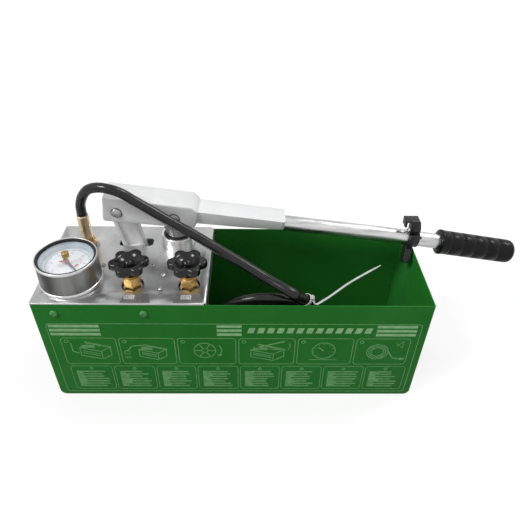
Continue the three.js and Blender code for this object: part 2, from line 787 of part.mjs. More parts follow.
function addPlunger(parent) {
  const eyeRadius = plungerRadius;
  const shoulder = plungerShoulder;
  const grooveLow = plungerBottom + plungerGrooveRise;
  const grooveHigh = grooveLow + plungerGrooveHeight;
  const grooveRadius = plungerRadius - plungerGroove;
  const shaft = turned([
    [0, plungerBottom],
    [plungerRadius - barrelChamfer, plungerBottom],
    [plungerRadius, plungerBottom + barrelChamfer],
    [plungerRadius, grooveLow],
    [grooveRadius, grooveLow],
    [grooveRadius, grooveHigh],
    [plungerRadius, grooveHigh],
    [plungerRadius, shoulder - plungerGroove],
    [plungerEyeHalfWidth, shoulder],
    [0, shoulder],
  ]);
  const eye = new THREE.Shape();
  eye.moveTo(-eyeRadius, shoulder - plungerGroove * 2);
  eye.lineTo(eyeRadius, shoulder - plungerGroove * 2);
  eye.absarc(0, leverPinHeight, eyeRadius, 0, Math.PI);
  const tongue = slab(eye, -plungerEyeHalfWidth, plungerEyeHalfWidth, arcSteps);
  const around = rod(plungerRadius, plungerBottom, leverPinHeight + eyeRadius + cutOverrun, roundSides);
  const head = geometryOf(solidOf(tongue).intersect(solidOf(around)));
  const hole = crossRod(pinRadius + seatGap, 0, leverPinHeight, -plungerRadius, plungerRadius);
  addPiece(parent, "plunger", cut(join(shaft, head), hole), darkSteel);
  const seal = pipe(
    plungerRadius + seatGap / 3,
    grooveRadius + seatGap,
    grooveLow + seatGap,
    grooveHigh - seatGap,
    roundSides,
  );
  addPiece(parent, "plunger_seal", seal, blackRubber);
}

// A pin along Y with a round head at the front and its end clenched over at the back.
function leverPin() {
  const outside = headWidth / 2 + seatGap;
  const face = outside + pinHeadThickness;
  const rim = pinHeadRadius - pinHeadThickness / 4;
  const pin = turned(
    [
      [0, -face],
      [rim, -face],
      [pinHeadRadius, -face + pinHeadThickness / 3],
      [pinHeadRadius, -outside],
      [pinRadius, -outside],
      [pinRadius, outside],
      [rim, outside],
      [rim, face],
      [0, face],
    ],
    smallSides,
  );
  return pin.rotateX(-Math.PI / 2);
}

function leverHead() {
  const half = headWidth / 2;
  const innerTop = headTop - headSheet;
  const armTop = tubeLift + tubeRadius + seatGap + armSheet;
  const lip = armTop + seatGap;
  const side = new THREE.Shape();
  side.moveTo(headEdgeRound - headLeft, -headDropLeft);
  side.lineTo(headRight - headCorner, -headDropRight);
  side.quadraticCurveTo(headRight, -headDropRight, headRight, 0);
  side.lineTo(headRight, lip);
  side.lineTo(headRight + headSheet / 2, lip + headSheet / 2);
  side.lineTo(headBendStart, headTop);
  side.lineTo(headEdgeRound - headLeft, headTop);
  side.quadraticCurveTo(-headLeft, headTop, -headLeft, headTop - headEdgeRound);
  side.lineTo(-headLeft, headEdgeRound - headDropLeft);
  side.quadraticCurveTo(-headLeft, -headDropLeft, headEdgeRound - headLeft, -headDropLeft);
  const channel = new THREE.Shape();
  channel.moveTo(-headLeft - cutOverrun, -headDropLeft - cutOverrun);
  channel.lineTo(headRight + headSheet, -headDropLeft - cutOverrun);
  channel.lineTo(headRight + headSheet, lip);
  channel.lineTo(headRight - headSheet / 4, lip);
  channel.lineTo(headBendStart - headSheet / 3, innerTop);
  channel.lineTo(-headLeft - cutOverrun, innerTop);
  const inside = half - headSheet;
  const blank = slab(side, -half, half);
  // Cuts the folded edges of the two cheeks to a round.
  const bendCut = headEdgeRound / 2;
  const ridges = [-1, 1].map((sideSign) => {
    const edge = new THREE.Shape();
    edge.moveTo(sideSign * (half - bendCut), headTop + cutOverrun);
    edge.lineTo(sideSign * (half - bendCut), headTop);
    edge.lineTo(sideSign * half, headTop - bendCut);
    edge.lineTo(sideSign * (half + cutOverrun), headTop - bendCut);
    edge.lineTo(sideSign * (half + cutOverrun), headTop + cutOverrun);
    const length = headLeft + headBendStart;
    const options = { depth: length + cutOverrun, bevelEnabled: false };
    const tool = new THREE.ExtrudeGeometry(edge, options);
    return tool.rotateX(Math.PI / 2).rotateZ(Math.PI / 2).translate(-headLeft - cutOverrun, 0, 0);
  });
  const holes = [
    crossRod(pinRadius + seatGap, 0, 0, -half - cutOverrun, half + cutOverrun),
    crossRod(pinRadius + seatGap, -linkPinReach, -linkPinDrop, -half - cutOverrun, half + cutOverrun),
  ];
  return cut(blank, slab(channel, -inside, inside), ...ridges, ...holes);
}

function armChannel() {
  const half = headWidth / 2 - headSheet - seatGap;
  const top = tubeLift + tubeRadius + seatGap + armSheet;
  const foot = -armWallStart - cutOverrun;
  const plan = new THREE.Shape();
  plan.moveTo(armStart, -half);
  plan.lineTo(armEnd - armCorner, -half);
  plan.absarc(armEnd - armCorner, armCorner - half, armCorner, -Math.PI / 2, 0);
  plan.absarc(armEnd - armCorner, half - armCorner, armCorner, 0, Math.PI / 2);
  plan.lineTo(armStart, half);
  const inner = new THREE.Shape();
  const bore = half - armSheet;
  const round = armCorner - armSheet;
  inner.moveTo(armStart - cutOverrun, -bore);
  inner.lineTo(armEnd - armCorner, -bore);
  inner.absarc(armEnd - armCorner, round - bore, round, -Math.PI / 2, 0);
  inner.absarc(armEnd - armCorner, bore - round, round, 0, Math.PI / 2);
  inner.lineTo(armStart - cutOverrun, bore);
  const below = new THREE.Shape();
  below.moveTo(armStart - cutOverrun, -armWallStart);
  below.lineTo(armMiddle, -armWallMiddle);
  below.lineTo(armEnd + cutOverrun, -armWallEnd);
  below.lineTo(armEnd + cutOverrun, foot - cutOverrun);
  below.lineTo(armStart - cutOverrun, foot - cutOverrun);
  return cut(
    prism(plan, foot, top),
    prism(inner, foot - cutOverrun, top - armSheet),
    slab(below, -half - cutOverrun, half + cutOverrun),
    longRod(tubeRadius + seatGap, armStart, armEnd + cutOverrun, middleSides).translate(0, 0, tubeLift),
  );
}

function handleTube() {
  const sideways = new THREE.Vector3(0, 1, 0);
  const bend = new THREE.Vector3(tubeBendAt, 0, tubeLift);
  const beyond = new THREE.Vector3(Math.cos(tubeBendAngle), 0, -Math.sin(tubeBendAngle));
  const blind = gripStart + gripLength - gripEndWall - seatGap;
  const line = (overrun) => [
    new THREE.Vector3(tubeStart - overrun, 0, tubeLift),
    bend,
    bend.clone().addScaledVector(beyond, blind + overrun),
  ];
  const outer = tubeThrough(line(0), tubeRadius, middleSides, sideways);
  return cut(outer, tubeThrough(line(cutOverrun), tubeRadius - tubeWall, middleSides, sideways));
}

function rubberGrip() {
  const end = gripStart + gripLength;
  const profile = [
    [0, gripStart],
    [gripLipRadius, gripStart],
    [gripLipRadius, gripStart + gripLipWidth],
    [gripRadius, gripStart + gripLipWidth * 2],
  ];
  for (let index = 0; index < gripGrooves; index += 1) {
    const middle = gripStart + gripLipWidth + gripGroovePitch * (index + 0.6);
    const share = (middle - gripStart) / gripLength;
    const radius = THREE.MathUtils.lerp(gripRadius, gripEndRadius, share);
    profile.push([radius, middle - gripGrooveHalfWidth]);
    profile.push([radius - gripGrooveDepth, middle]);
    profile.push([radius, middle + gripGrooveHalfWidth]);
  }
  profile.push([gripEndRadius, end - gripRound]);
  profile.push([gripEndRadius - gripRound * 0.3, end - gripRound * 0.3]);
  profile.push([gripEndRadius - gripRound, end]);
  profile.push([0, end]);
  const body = turned(profile, middleSides).rotateY(Math.PI / 2);
  const bore = longRod(tubeRadius + seatGap, gripStart - cutOverrun, end - gripEndWall, middleSides);
  return cut(body, bore);
}

function transportClip() {
  const bore = tubeRadius + seatGap;
  const sleeve = longRod(clipRadius, -clipLeft, clipRight, middleSides);
  const flange = longRod(clipFlangeRadius, clipFlangeStart, clipRight, middleSides);
  const leg = new THREE.Shape();
  const legRound = (clipLegLeft - clipLegRight) / 2;
  leg.moveTo(-clipLegRight, -bore);
  leg.lineTo(-clipLeft, -bore);
  leg.lineTo(-clipLegLeft, -bore - legRound);
  leg.lineTo(-clipLegLeft, legRound - clipLegLength);
  leg.absarc(-clipLegRight - legRound, legRound - clipLegLength, legRound, Math.PI, Math.PI * 2);
  const stem = rectangle(-clipStemLeft, bore, clipStemRight, clipTabTop);
  const tab = rectangle(-clipTabLeft, clipTabTop - clipTabThickness, clipTabRight, clipTabTop);
  const lip = rectangle(-clipTabLeft, clipTabTop - clipTabDrop, clipTabThickness - clipTabLeft, clipTabTop);
  const solid = join(
    sleeve,
    flange,
    slab(leg, -clipLegHalfWidth, clipLegHalfWidth, arcSteps).rotateX(-clipLegTurn),
    slab(stem, -clipStemHalfWidth, clipStemHalfWidth),
    slab(tab, -clipTabHalfWidth, clipTabHalfWidth),
    slab(lip, -clipTabHalfWidth, clipTabHalfWidth),
  );
  const screwHole = rod(clipScrewShankRadius + seatGap, bore - cutOverrun, clipRadius + cutOverrun, tinySides);
  return cut(
    solid,
    longRod(bore, -clipLegLeft - cutOverrun, clipRight + cutOverrun, middleSides),
    screwHole.translate(-clipScrewOffset, 0, 0),
  );
}

function addLever(parent) {
  const lever = new THREE.Group();
  lever.position.set(plungerX, leverY, leverPinHeight);
  lever.rotation.y = leverSlope;
  parent.add(lever);
  addPiece(lever, "lever_head", leverHead(), leverSilver);
  addPiece(lever, "arm_channel", armChannel(), leverSilver);
  addPiece(lever, "handle_tube", handleTube(), zincSteel);
  addPiece(lever, "plunger_pin", leverPin(), zincSteel);
  addPiece(lever, "link_top_pin", leverPin(), zincSteel).position.set(-linkPinReach, 0, -linkPinDrop);

  const bent = new THREE.Group();
  bent.position.set(tubeBendAt, 0, tubeLift);
  bent.rotation.y = tubeBendAngle;
  lever.add(bent);
  addPiece(bent, "grip", rubberGrip(), blackRubber);
  const clip = new THREE.Group();
  clip.position.set(tubeBendBeforeWall, 0, 0);
  bent.add(clip);
  addPiece(clip, "transport_clip", transportClip(), blackPlastic);
  const screw = domedScrew(clipScrewHeadRadius, clipScrewHeadHeight, clipScrewShankRadius, clipWall);
  addPiece(clip, "clip_screw", screw, zincSteel).position.set(-clipScrewOffset, 0, clipRadius + seatGap);
}

function addLink(parent) {
  const swing = new THREE.Group();
  swing.position.copy(linkTop);
  swing.rotation.y = -linkLean;
  parent.add(swing);
  const flat = linkHalfWidth - linkBevel;
  const outline = new THREE.Shape();
  outline.absarc(0, 0, flat, 0, Math.PI);
  outline.absarc(0, -linkLength, flat, Math.PI, Math.PI * 2);
  const options = {
    depth: linkThickness - linkBevel * 2,
    bevelThickness: linkBevel,
    bevelSize: linkBevel,
    bevelSegments: 1,
    curveSegments: arcSteps,
  };
  const bar = new THREE.ExtrudeGeometry(outline, options);
  bar.rotateX(Math.PI / 2).translate(0, linkThickness / 2 - linkBevel, 0);
  const half = linkThickness / 2 + cutOverrun;
  const link = cut(
    bar,
    crossRod(pinRadius + seatGap, 0, 0, -half, half),
    crossRod(linkPinRadius + openPivotPlay, 0, -linkLength, -half, half, middleSides),
  );
  addPiece(swing, "link", link, castAluminium);
}

// A star of round lobes with round hollows between them, a bevel smaller than the finished knob.
function starShape() {
  const half = Math.PI / knobLobes;
  const between = knobLobeRadius + knobHollowRadius;
  const across = knobLobeReach * Math.cos(half);
  const hollowReach = across + Math.sqrt(across ** 2 - knobLobeReach ** 2 + between ** 2);
  const open = Math.atan2(hollowReach * Math.sin(half), hollowReach * Math.cos(half) - knobLobeReach);
  const shape = new THREE.Shape();
  for (let lobe = 0; lobe < knobLobes; lobe += 1) {
    const turn = lobe * half * 2;
    const lobeX = knobLobeReach * Math.cos(turn);
    const lobeY = knobLobeReach * Math.sin(turn);
    const hollowX = hollowReach * Math.cos(turn + half);
    const hollowY = hollowReach * Math.sin(turn + half);
    const leave = turn + open + Math.PI;
    const meet = turn + half * 2 - open + Math.PI;
    shape.absarc(lobeX, lobeY, knobLobeRadius - knobBevel, turn - open, turn + open);
    shape.absarc(hollowX, hollowY, knobHollowRadius + knobBevel, leave, meet, true);
  }
  return shape;
}

function starKnob() {
  const options = {
    depth: knobHeight - knobBevel * 2,
    bevelThickness: knobBevel,
    bevelSize: knobBevel,
    bevelSegments: 2,
    curveSegments: cornerSteps,
  };
  const star = new THREE.ExtrudeGeometry(starShape(), options).translate(0, 0, knobBottom + knobBevel);
  const top = knobBottom + knobHeight;
  const hubBottom = bonnetTop + seatGap;
  const bore = spindleRadius + seatGap;
  const dish = pipe(knobDishRadius, knobDishHub, top - knobDishDepth, top + cutOverrun, middleSides);
  const hub = rod(knobHubRadius, hubBottom, knobBottom + knobBevel * 2, smallSides);
  const hole = rod(bore, hubBottom - cutOverrun, spindleTop + seatGap, smallSides);
  return cut(join(star, hub), dish, hole);
}

function addValves(parent) {
  const threadFoot = bodyTop - bonnetThreadDepth;
  const nutFoot = bodyTop + seatGap;
  valveXs.forEach((x, index) => {
    const valve = new THREE.Group();
    valve.position.set(x, valveY, 0);
    parent.add(valve);
    const nut = hexagonNut(bonnetAcrossFlats, nutFoot, bonnetTop, bonnetChamfer).rotateZ(Math.PI / 6);
    const thread = rod(bonnetThreadRadius, threadFoot, nutFoot + cutOverrun, smallSides);
    const bore = rod(spindleRadius + seatGap, threadFoot - cutOverrun, bonnetTop + cutOverrun, smallSides);
    addPiece(valve, `valve_bonnet_${index + 1}`, cut(join(nut, thread), bore), brass);
    const spindle = turned(
      [[0, spindleBottom - spindleTip], [spindleRadius, spindleBottom], [spindleRadius, spindleTop], [0, spindleTop]],
      smallSides,
    );
    addPiece(valve, `valve_spindle_${index + 1}`, spindle, zincSteel);
    addPiece(valve, `valve_knob_${index + 1}`, starKnob(), blackPlastic);
  });
}

function pointerPlate(reach, tail, rise, hubRadius, hubHole) {
  const blade = new THREE.Shape();
  blade.moveTo(-tail, -pointerRootHalfWidth);
  blade.lineTo(0, -pointerRootHalfWidth);
  blade.lineTo(reach, -pointerTipHalfWidth);
  blade.lineTo(reach, pointerTipHalfWidth);
  blade.lineTo(0, pointerRootHalfWidth);
  blade.lineTo(-tail, pointerRootHalfWidth);
  const plate = join(prism(blade, rise, rise + pointerThickness), rod(hubRadius, rise, rise + pointerThickness, tinySides));
  return hubHole > 0 ? cut(plate, rod(hubHole, rise - cutOverrun, rise + cutOverrun, tinySides)) : plate;
}

function addGauge(parent) {
  const gauge = new THREE.Group();
  gauge.position.set(gaugeX, gaugeY, deckTop + seatGap);
  parent.add(gauge);
  const dialTop = gaugeHeight - dialDepth;
  const dialFoot = dialTop - dialThickness;
  const ledge = dialFoot - seatGap;
  const bore = gaugeRadius - gaugeWall;
  const rimTop = gaugeHeight - bezelLipThickness - seatGap;
  const caseShell = turned([
    [gaugeHoleRadius, 0],
    [gaugeBaseRadius, 0],
    [gaugeBaseRadius, gaugeBaseHeight],
    [gaugeRadius, gaugeBaseHeight],
    [gaugeRadius, rimTop],
    [bore, rimTop],
    [bore, ledge],
    [bore - gaugeLedge, ledge],
    [bore - gaugeLedge, gaugeFloor],
    [gaugeHoleRadius, gaugeFloor],
    [gaugeHoleRadius, 0],
  ]);
  addPiece(gauge, "gauge_case", caseShell, stainless);
  const inner = bore - seatGap;
  addPiece(gauge, "gauge_dial", pipe(inner, arborRadius + seatGap, dialFoot, dialTop), dialWhite);
  const spacerFoot = dialTop + seatGap;
  const spacerTop = spacerFoot + spacerHeight;
  addPiece(gauge, "gauge_spacer", pipe(inner, inner - gasketWidth, spacerFoot, spacerTop), dialWhite);
  const windowFoot = spacerTop + seatGap;
  const windowTop = windowFoot + windowThickness;
  const spindleHole = arborRadius + seatGap;
  addPiece(gauge, "gauge_window", pipe(inner, spindleHole, windowFoot, windowTop), clearGlass);
  const gasketFoot = windowTop + seatGap;
  const gasket = pipe(inner, inner - gasketWidth, gasketFoot, gasketFoot + gasketHeight);
  addPiece(gauge, "gauge_gasket", gasket, blackRubber);
  const outer = gaugeRadius + seatGap + bezelOverlap;
  const bezel = turned([
    [gaugeRadius + seatGap, gaugeHeight - bezelHeight],
    [outer, gaugeHeight - bezelHeight],
    [outer, gaugeHeight - bezelLipThickness],
    [outer - bezelLipThickness, gaugeHeight],
    [outer - bezelLipWidth, gaugeHeight],
    [outer - bezelLipWidth, gaugeHeight - bezelLipThickness],
    [gaugeRadius + seatGap, gaugeHeight - bezelLipThickness],
    [gaugeRadius + seatGap, gaugeHeight - bezelHeight],
  ]);
  addPiece(gauge, "gauge_bezel", bezel, stainless);

  const movementTop = dialFoot - seatGap;
  const arborFoot = movementTop - movementRadius / 2;
  const movement = cut(
    rod(movementRadius, gaugeFloor + seatGap, movementTop, smallSides),
    rod(arborRadius + seatGap, arborFoot - seatGap, movementTop + cutOverrun, tinySides),
  );
  addPiece(gauge, "gauge_movement", movement, brass);
  const pointerFoot = dialTop + pointerRise;
  const arbor = rod(arborRadius, arborFoot, pointerFoot + pointerThickness / 2, tinySides);
  const blade = pointerPlate(pointerLength, pointerTail, pointerFoot, pointerHubRadius, 0);
  const pointer = addPiece(gauge, "gauge_pointer", join(blade, arbor), pointerBlue);
  pointer.rotation.z = pointerTurn;

  const dragFoot = dialTop + dragRise;
  const dragBlade = pointerPlate(dragLength, 0, dragFoot, pointerHubRadius, spindleHole);
  addPiece(gauge, "gauge_drag_pointer", dragBlade, pointerRed).rotation.z = dragTurn;
  const knobFoot = windowTop + seatGap;
  const knobTop = knobFoot + resetKnobHeight;
  const resetKnob = turned(
    [
      [0, dragFoot + seatGap],
      [arborRadius, dragFoot + seatGap],
      [arborRadius, knobFoot],
      [resetKnobRadius, knobFoot],
      [resetKnobRadius, knobTop - resetKnobChamfer],
      [resetKnobRadius - resetKnobChamfer, knobTop],
      [0, knobTop],
    ],
    smallSides,
  );
  addPiece(gauge, "gauge_reset_knob", resetKnob, brass);

  const stemTop = gaugeFloor;
  const stemFoot = bodyTop - deckTop - seatGap - stemDepth;
  const collarFoot = bodyTop - deckTop;
  const stem = turned(
    [
      [0, stemFoot],
      [stemRadius, stemFoot],
      [stemRadius, collarFoot],
      [stemCollarRadius, collarFoot],
      [stemCollarRadius, collarFoot + stemCollarHeight],
      [stemRadius, collarFoot + stemCollarHeight],
      [stemRadius, stemTop],
      [0, stemTop],
    ],
    smallSides,
  );
  addPiece(gauge, "gauge_stem", stem, brass);
}

// A crimped sleeve along Z from one height to another, with rings pressed into it.
function crimpedFerrule(bottom, top) {
  const profile = [[0, bottom], [ferruleRadius, bottom]];
  const room = (top - bottom) / (ferruleRings + 1);
  for (let ring = 1; ring <= ferruleRings; ring += 1) {
    const middle = bottom + room * ring;
    profile.push([ferruleRadius, middle - ferruleBand / 2]);
    profile.push([ferruleRadius - ferruleCrimp, middle - ferruleBand / 4]);
    profile.push([ferruleRadius - ferruleCrimp, middle + ferruleBand / 4]);
    profile.push([ferruleRadius, middle + ferruleBand / 2]);
  }
  profile.push([ferruleRadius, top - ferruleCrimp]);
  profile.push([ferruleRadius - ferruleCrimp, top]);
  profile.push([0, top]);
  return turned(profile, smallSides);
}

function addHoseOutlet(parent) {
  const outlet = new THREE.Group();
  outlet.position.set(hoseX, hoseY, 0);
  parent.add(outlet);
  const stem = rod(hoseStemRadius, bodyTop - hoseStemDepth, hoseNutTop - seatGap, smallSides);
  addPiece(outlet, "hose_stem", stem, zincSteel);
  const nut = cut(
    hexagonNut(hoseNutAcrossFlats, hoseNutFoot, hoseNutTop, hoseNutChamfer),
    rod(hoseStemRadius + seatGap, hoseNutFoot - cutOverrun, hoseNutTop + cutOverrun, smallSides),
  );
  addPiece(outlet, "hose_union_nut", nut, brass);
  addPiece(outlet, "hose_ferrule", crimpedFerrule(ferruleFoot, ferruleTop), brass);
}

// The coil's centre line: a leaning oval spiral that tucks its end inwards and back.
const coilAcross = new THREE.Vector3(1, 0, 0);
const coilUp = new THREE.Vector3(0, -Math.cos(coilLean), Math.sin(coilLean));
const coilBack = new THREE.Vector3(0, Math.sin(coilLean), Math.cos(coilLean));
const coilTop = new THREE.Vector3(coilX, coilInset - tankSide, tankHeight - coilTopDrop);
const coilCentre = coilTop.addScaledVector(coilUp, -coilTopRadius);

function coilPoint(turn, endTurn) {
  const share = THREE.MathUtils.smoothstep(turn, endTurn - coilTuckTurn, endTurn);
  const radius = coilTopRadius + coilPitch * (1 - turn / (Math.PI * 2)) - coilTuckIn * share;
  return coilCentre
    .clone()
    .addScaledVector(coilAcross, (radius - coilNarrowing) * Math.sin(turn))
    .addScaledVector(coilUp, radius * Math.cos(turn))
    .addScaledVector(coilBack, coilTuckBack * share);
}

function coilPoints(endTurn) {
  const stepTurn = (Math.PI * 2) / coilStepsPerLoop;
  const steps = Math.round((endTurn - coilStart) / stepTurn);
  const points = [];
  for (let step = 0; step <= steps; step += 1) {
    points.push(coilPoint(coilStart + ((endTurn - coilStart) * step) / steps, endTurn));
  }
  const lead = points[0].clone().sub(points[1]).normalize();
  const tail = points[steps].clone().sub(points[steps - 1]).normalize();
  points.unshift(points[0].clone().addScaledVector(lead, hoseRadius * 2));
  points.push(points[points.length - 1].clone().addScaledVector(tail, hoseRadius * 2));
  return points;
}

function lengthAlong(points) {
  return points.slice(1).reduce((sum, point, index) => sum + point.distanceTo(points[index]), 0);
}

// A closed tube round a line of points, with flat ends square to its first and last runs.
function tubeThrough(points, radius, sides, firstSide) {
  const positions = [];
  const count = points.length;
  const side = firstSide.clone();
  points.forEach((point, index) => {
    const before = points[Math.max(index - 1, 0)];
    const after = points[Math.min(index + 1, count - 1)];
    const along = after.clone().sub(before).normalize();
    side.addScaledVector(along, -side.dot(along)).normalize();
    const other = new THREE.Vector3().crossVectors(along, side);
    for (let corner = 0; corner < sides; corner += 1) {
      const turn = (corner * Math.PI * 2) / sides;
      const spot = point.clone().addScaledVector(side, radius * Math.cos(turn));
      spot.addScaledVector(other, radius * Math.sin(turn));
      positions.push(spot.x, spot.y, spot.z);
    }
  });
  const index = [];
  for (let ring = 0; ring < count - 1; ring += 1) {
    for (let corner = 0; corner < sides; corner += 1) {
      const near = ring * sides + corner;
      const next = ring * sides + ((corner + 1) % sides);
      index.push(near, next, near + sides, next, next + sides, near + sides);
    }
  }
  const last = (count - 1) * sides;
  for (let corner = 1; corner < sides - 1; corner += 1) {
    index.push(0, corner + 1, corner);
    index.push(last, last + corner, last + corner + 1);
  }
  const geometry = new THREE.BufferGeometry();
  geometry.setAttribute("position", new THREE.Float32BufferAttribute(positions, 3));
  geometry.setIndex(index);
  return geometry;
}

// The least gap of the coil to itself, measured between its points half a loop or more apart.
function leastGap(points) {
  let least = Infinity;
  const apart = coilStepsPerLoop / 2;
  const fine = new THREE.CatmullRomCurve3(points).getPoints(points.length * 4);
  fine.forEach((point, index) => {
    for (let other = index + apart * 4; other < fine.length; other += 1) {
      least = Math.min(least, point.distanceTo(fine[other]) - hoseRadius * 2);
    }
  });
  return least;
}

// A point that is given by its height over the tank's rim.
function overRim([x, y, height]) {
  return new THREE.Vector3(x, y, tankHeight + height);
}

// Turns a group so that its Z runs along a direction.
function aim(group, direction) {
  group.quaternion.setFromUnitVectors(new THREE.Vector3(0, 0, 1), direction);
}

function addHose(parent) {
  const outletTop = ferruleTop + seatGap;
  const outlet = [outletTop, outletTop + hoseRadius].map((z) => new THREE.Vector3(hoseX, hoseY, z));
  const route = [...outlet, ...hoseRoute.map(overRim)];
  const start = coilPoints(coilStart + Math.PI * 2)[0];
  const inwards = coilPoint(coilStart, Infinity).sub(start).normalize();
  route.push(start.clone().addScaledVector(inwards, -hoseRadius));
  route.push(start.clone().addScaledVector(inwards, -seatGap));
  const curve = new THREE.CatmullRomCurve3(route);
  const section = new THREE.Shape();
  section.absarc(0, 0, hoseRadius, 0, Math.PI * 2);
  const options = { steps: hoseRunSteps, extrudePath: curve, curveSegments: hoseRunSides / 2 };
  addPiece(parent, "hose_run", new THREE.ExtrudeGeometry(section, options), blackRubber);

  const wanted = hoseLength - lengthAlong(curve.getPoints(hoseRunSteps * 4));
  let endTurn = coilStart + Math.PI * 2;
  const nudge = Math.PI / 180;
  while (lengthAlong(coilPoints(endTurn)) < wanted) endTurn += nudge;
  const points = coilPoints(endTurn);
  addPiece(parent, "hose_coil", tubeThrough(points, hoseRadius, coilSides, coilBack), blackRubber);
  const gap = leastGap(points);
  console.log(`hose coil: ${((endTurn - coilStart) / Math.PI / 2).toFixed(2)} loops, least gap ${gap.toFixed(2)} mm`);
  if (gap < coilLeastGap) console.log("the coil's turns lie too close");

  const tip = points[points.length - 1];
  const along = tip.clone().sub(points[points.length - 2]).normalize();
  const end = new THREE.Group();
  end.position.copy(tip);
  aim(end, along);
  parent.add(end);
  addPiece(end, "hose_end_ferrule", crimpedFerrule(seatGap, endFerruleLength), brass);
  const nutFoot = endFerruleLength + seatGap;
  const nutTop = nutFoot + endNutLength;
  const nut = cut(
    hexagonNut(endNutAcrossFlats, nutFoot, nutTop, hoseNutChamfer),
    rod(endNutBore, nutFoot + hoseNutChamfer * 2, nutTop + cutOverrun, smallSides),
  );
  addPiece(end, "hose_end_nut", nut, brass);
  addCableTie(parent, points);
}

function addCableTie(parent, strands) {
  const outer = strands[tieStep];
  const loops = Math.floor((strands.length - 1 - tieStep) / coilStepsPerLoop);
  const inner = strands[tieStep + coilStepsPerLoop * loops];
  const along = strands[tieStep + 1].clone().sub(strands[tieStep - 1]).normalize();
  const middle = outer.clone().add(inner).multiplyScalar(0.5);
  const outwards = outer.clone().sub(inner);
  const reach = outwards.length() / 2;
  outwards.addScaledVector(along, -outwards.dot(along)).normalize();
  const sideways = new THREE.Vector3().crossVectors(along, outwards);
  const loop = (radius) => {
    const shape = new THREE.Shape();
    shape.absarc(reach, 0, radius, -Math.PI / 2, Math.PI / 2);
    shape.absarc(-reach, 0, radius, Math.PI / 2, Math.PI * 1.5);
    return shape;
  };
  const hole = hoseRadius + tieSlack;
  const band = prism(loop(hole + tieThickness), -tieWidth / 2, tieWidth / 2, arcSteps);
  const headLeft = reach + hole;
  const head = prism(
    rectangle(headLeft, -tieHeadLength / 2, headLeft + tieHeadHeight, tieHeadLength / 2),
    -tieWidth / 2 - tieThickness / 2,
    tieWidth / 2 + tieThickness / 2,
  );
  const frame = new THREE.Matrix4().makeBasis(outwards, sideways, along).setPosition(middle);
  const ring = cut(join(band, head), prism(loop(hole), -tieWidth, tieWidth, arcSteps)).applyMatrix4(frame);
  const root = new THREE.Vector3(headLeft + tieHeadHeight / 2, 0, 0).applyMatrix4(frame);
  const route = [root, ...tieTailRoute.map(overRim)];
  const strip = rectangle(-tieThickness / 2, -tieWidth / 2, tieThickness / 2, tieWidth / 2);
  const tail = new THREE.ExtrudeGeometry(strip, {
    steps: tieTailSteps,
    extrudePath: new THREE.CatmullRomCurve3(route),
  });
  addPiece(parent, "cable_tie", join(ring, tail), whitePlastic);
}

function makePump() {
  const pump = new THREE.Group();
  addTank(pump);
  addDeck(pump);
  addScrews(pump);
  addPumpBody(pump);
  const barrel = new THREE.Group();
  barrel.position.set(plungerX, leverY, 0);
  pump.add(barrel);
  addBarrel(barrel);
  addPlunger(barrel);
  addLever(pump);
  addLink(pump);
  addValves(pump);
  addGauge(pump);
  addHoseOutlet(pump);
  addHose(pump);
  return pump;
}

export default makePump();
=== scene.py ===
"""Dressed model of a hand-lever hydrostatic test pump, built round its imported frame."""
import logging
import math
import random
from dataclasses import dataclass, field
from enum import Enum
from typing import Callable, Iterable, Optional, Sequence, Union

import bmesh
import bpy
from mathutils import Matrix, Vector


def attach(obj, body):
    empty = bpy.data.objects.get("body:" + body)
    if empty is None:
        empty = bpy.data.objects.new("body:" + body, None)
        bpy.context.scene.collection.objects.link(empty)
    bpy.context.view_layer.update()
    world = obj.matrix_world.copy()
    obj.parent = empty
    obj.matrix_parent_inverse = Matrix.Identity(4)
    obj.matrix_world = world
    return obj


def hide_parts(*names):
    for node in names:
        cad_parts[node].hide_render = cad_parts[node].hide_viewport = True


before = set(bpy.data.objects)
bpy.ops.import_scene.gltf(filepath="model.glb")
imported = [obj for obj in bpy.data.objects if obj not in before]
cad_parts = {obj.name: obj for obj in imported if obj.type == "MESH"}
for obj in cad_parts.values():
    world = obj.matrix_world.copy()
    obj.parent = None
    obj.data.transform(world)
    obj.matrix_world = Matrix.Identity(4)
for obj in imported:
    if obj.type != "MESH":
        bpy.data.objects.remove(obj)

LOG = logging.getLogger("test_pump")
MM = 0.001
TURN = 2 * math.pi
# How far apart two points may be to count as one, in millimetres
NEAR = 1e-4
# How close a corner must be to a line to lie on it, in millimetres
TOUCH = 0.01
# The share of a face's normal along an axis from which the face looks that way
FACING = 0.9
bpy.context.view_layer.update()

Point2 = tuple[float, float]
Point3 = tuple[float, float, float]
Colour = tuple[float, float, float]
Points = tuple[Point2, ...]
Shape = bmesh.types.BMesh
Piece = bpy.types.Object
Node = bpy.types.Node
Socket = bpy.types.NodeSocket
Tone = Union[Colour, Socket]


class Body(Enum):
    """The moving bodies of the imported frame."""

    FRAME = "frame"
    PLUNGER = "plunger_rod"
    LEVER = "lever"
    LINK = "link_arm"
    CLIP = "clip"
    VALVE_1 = "valve_1"
    VALVE_2 = "valve_2"
    POINTER = "pointer"
    DRAG_POINTER = "drag_pointer"


class Slot(Enum):
    """The record's material slots."""

    GREEN = "green_paint"
    STAINLESS = "stainless_sheet"
    ZINC = "zinc_steel"
    DARK_STEEL = "dark_steel"
    CAST = "cast_aluminium"
    LEVER = "lever_paint"
    BRASS = "brass"
    RUBBER = "black_rubber"
    HOSE = "hose_rubber"
    PLASTIC = "black_plastic"
    GLOSS = "black_gloss"
    WHITE = "white_plastic"
    DIAL = "dial_white"
    WINDOW = "clear_window"
    BLUE = "pointer_blue"
    RED = "pointer_red"


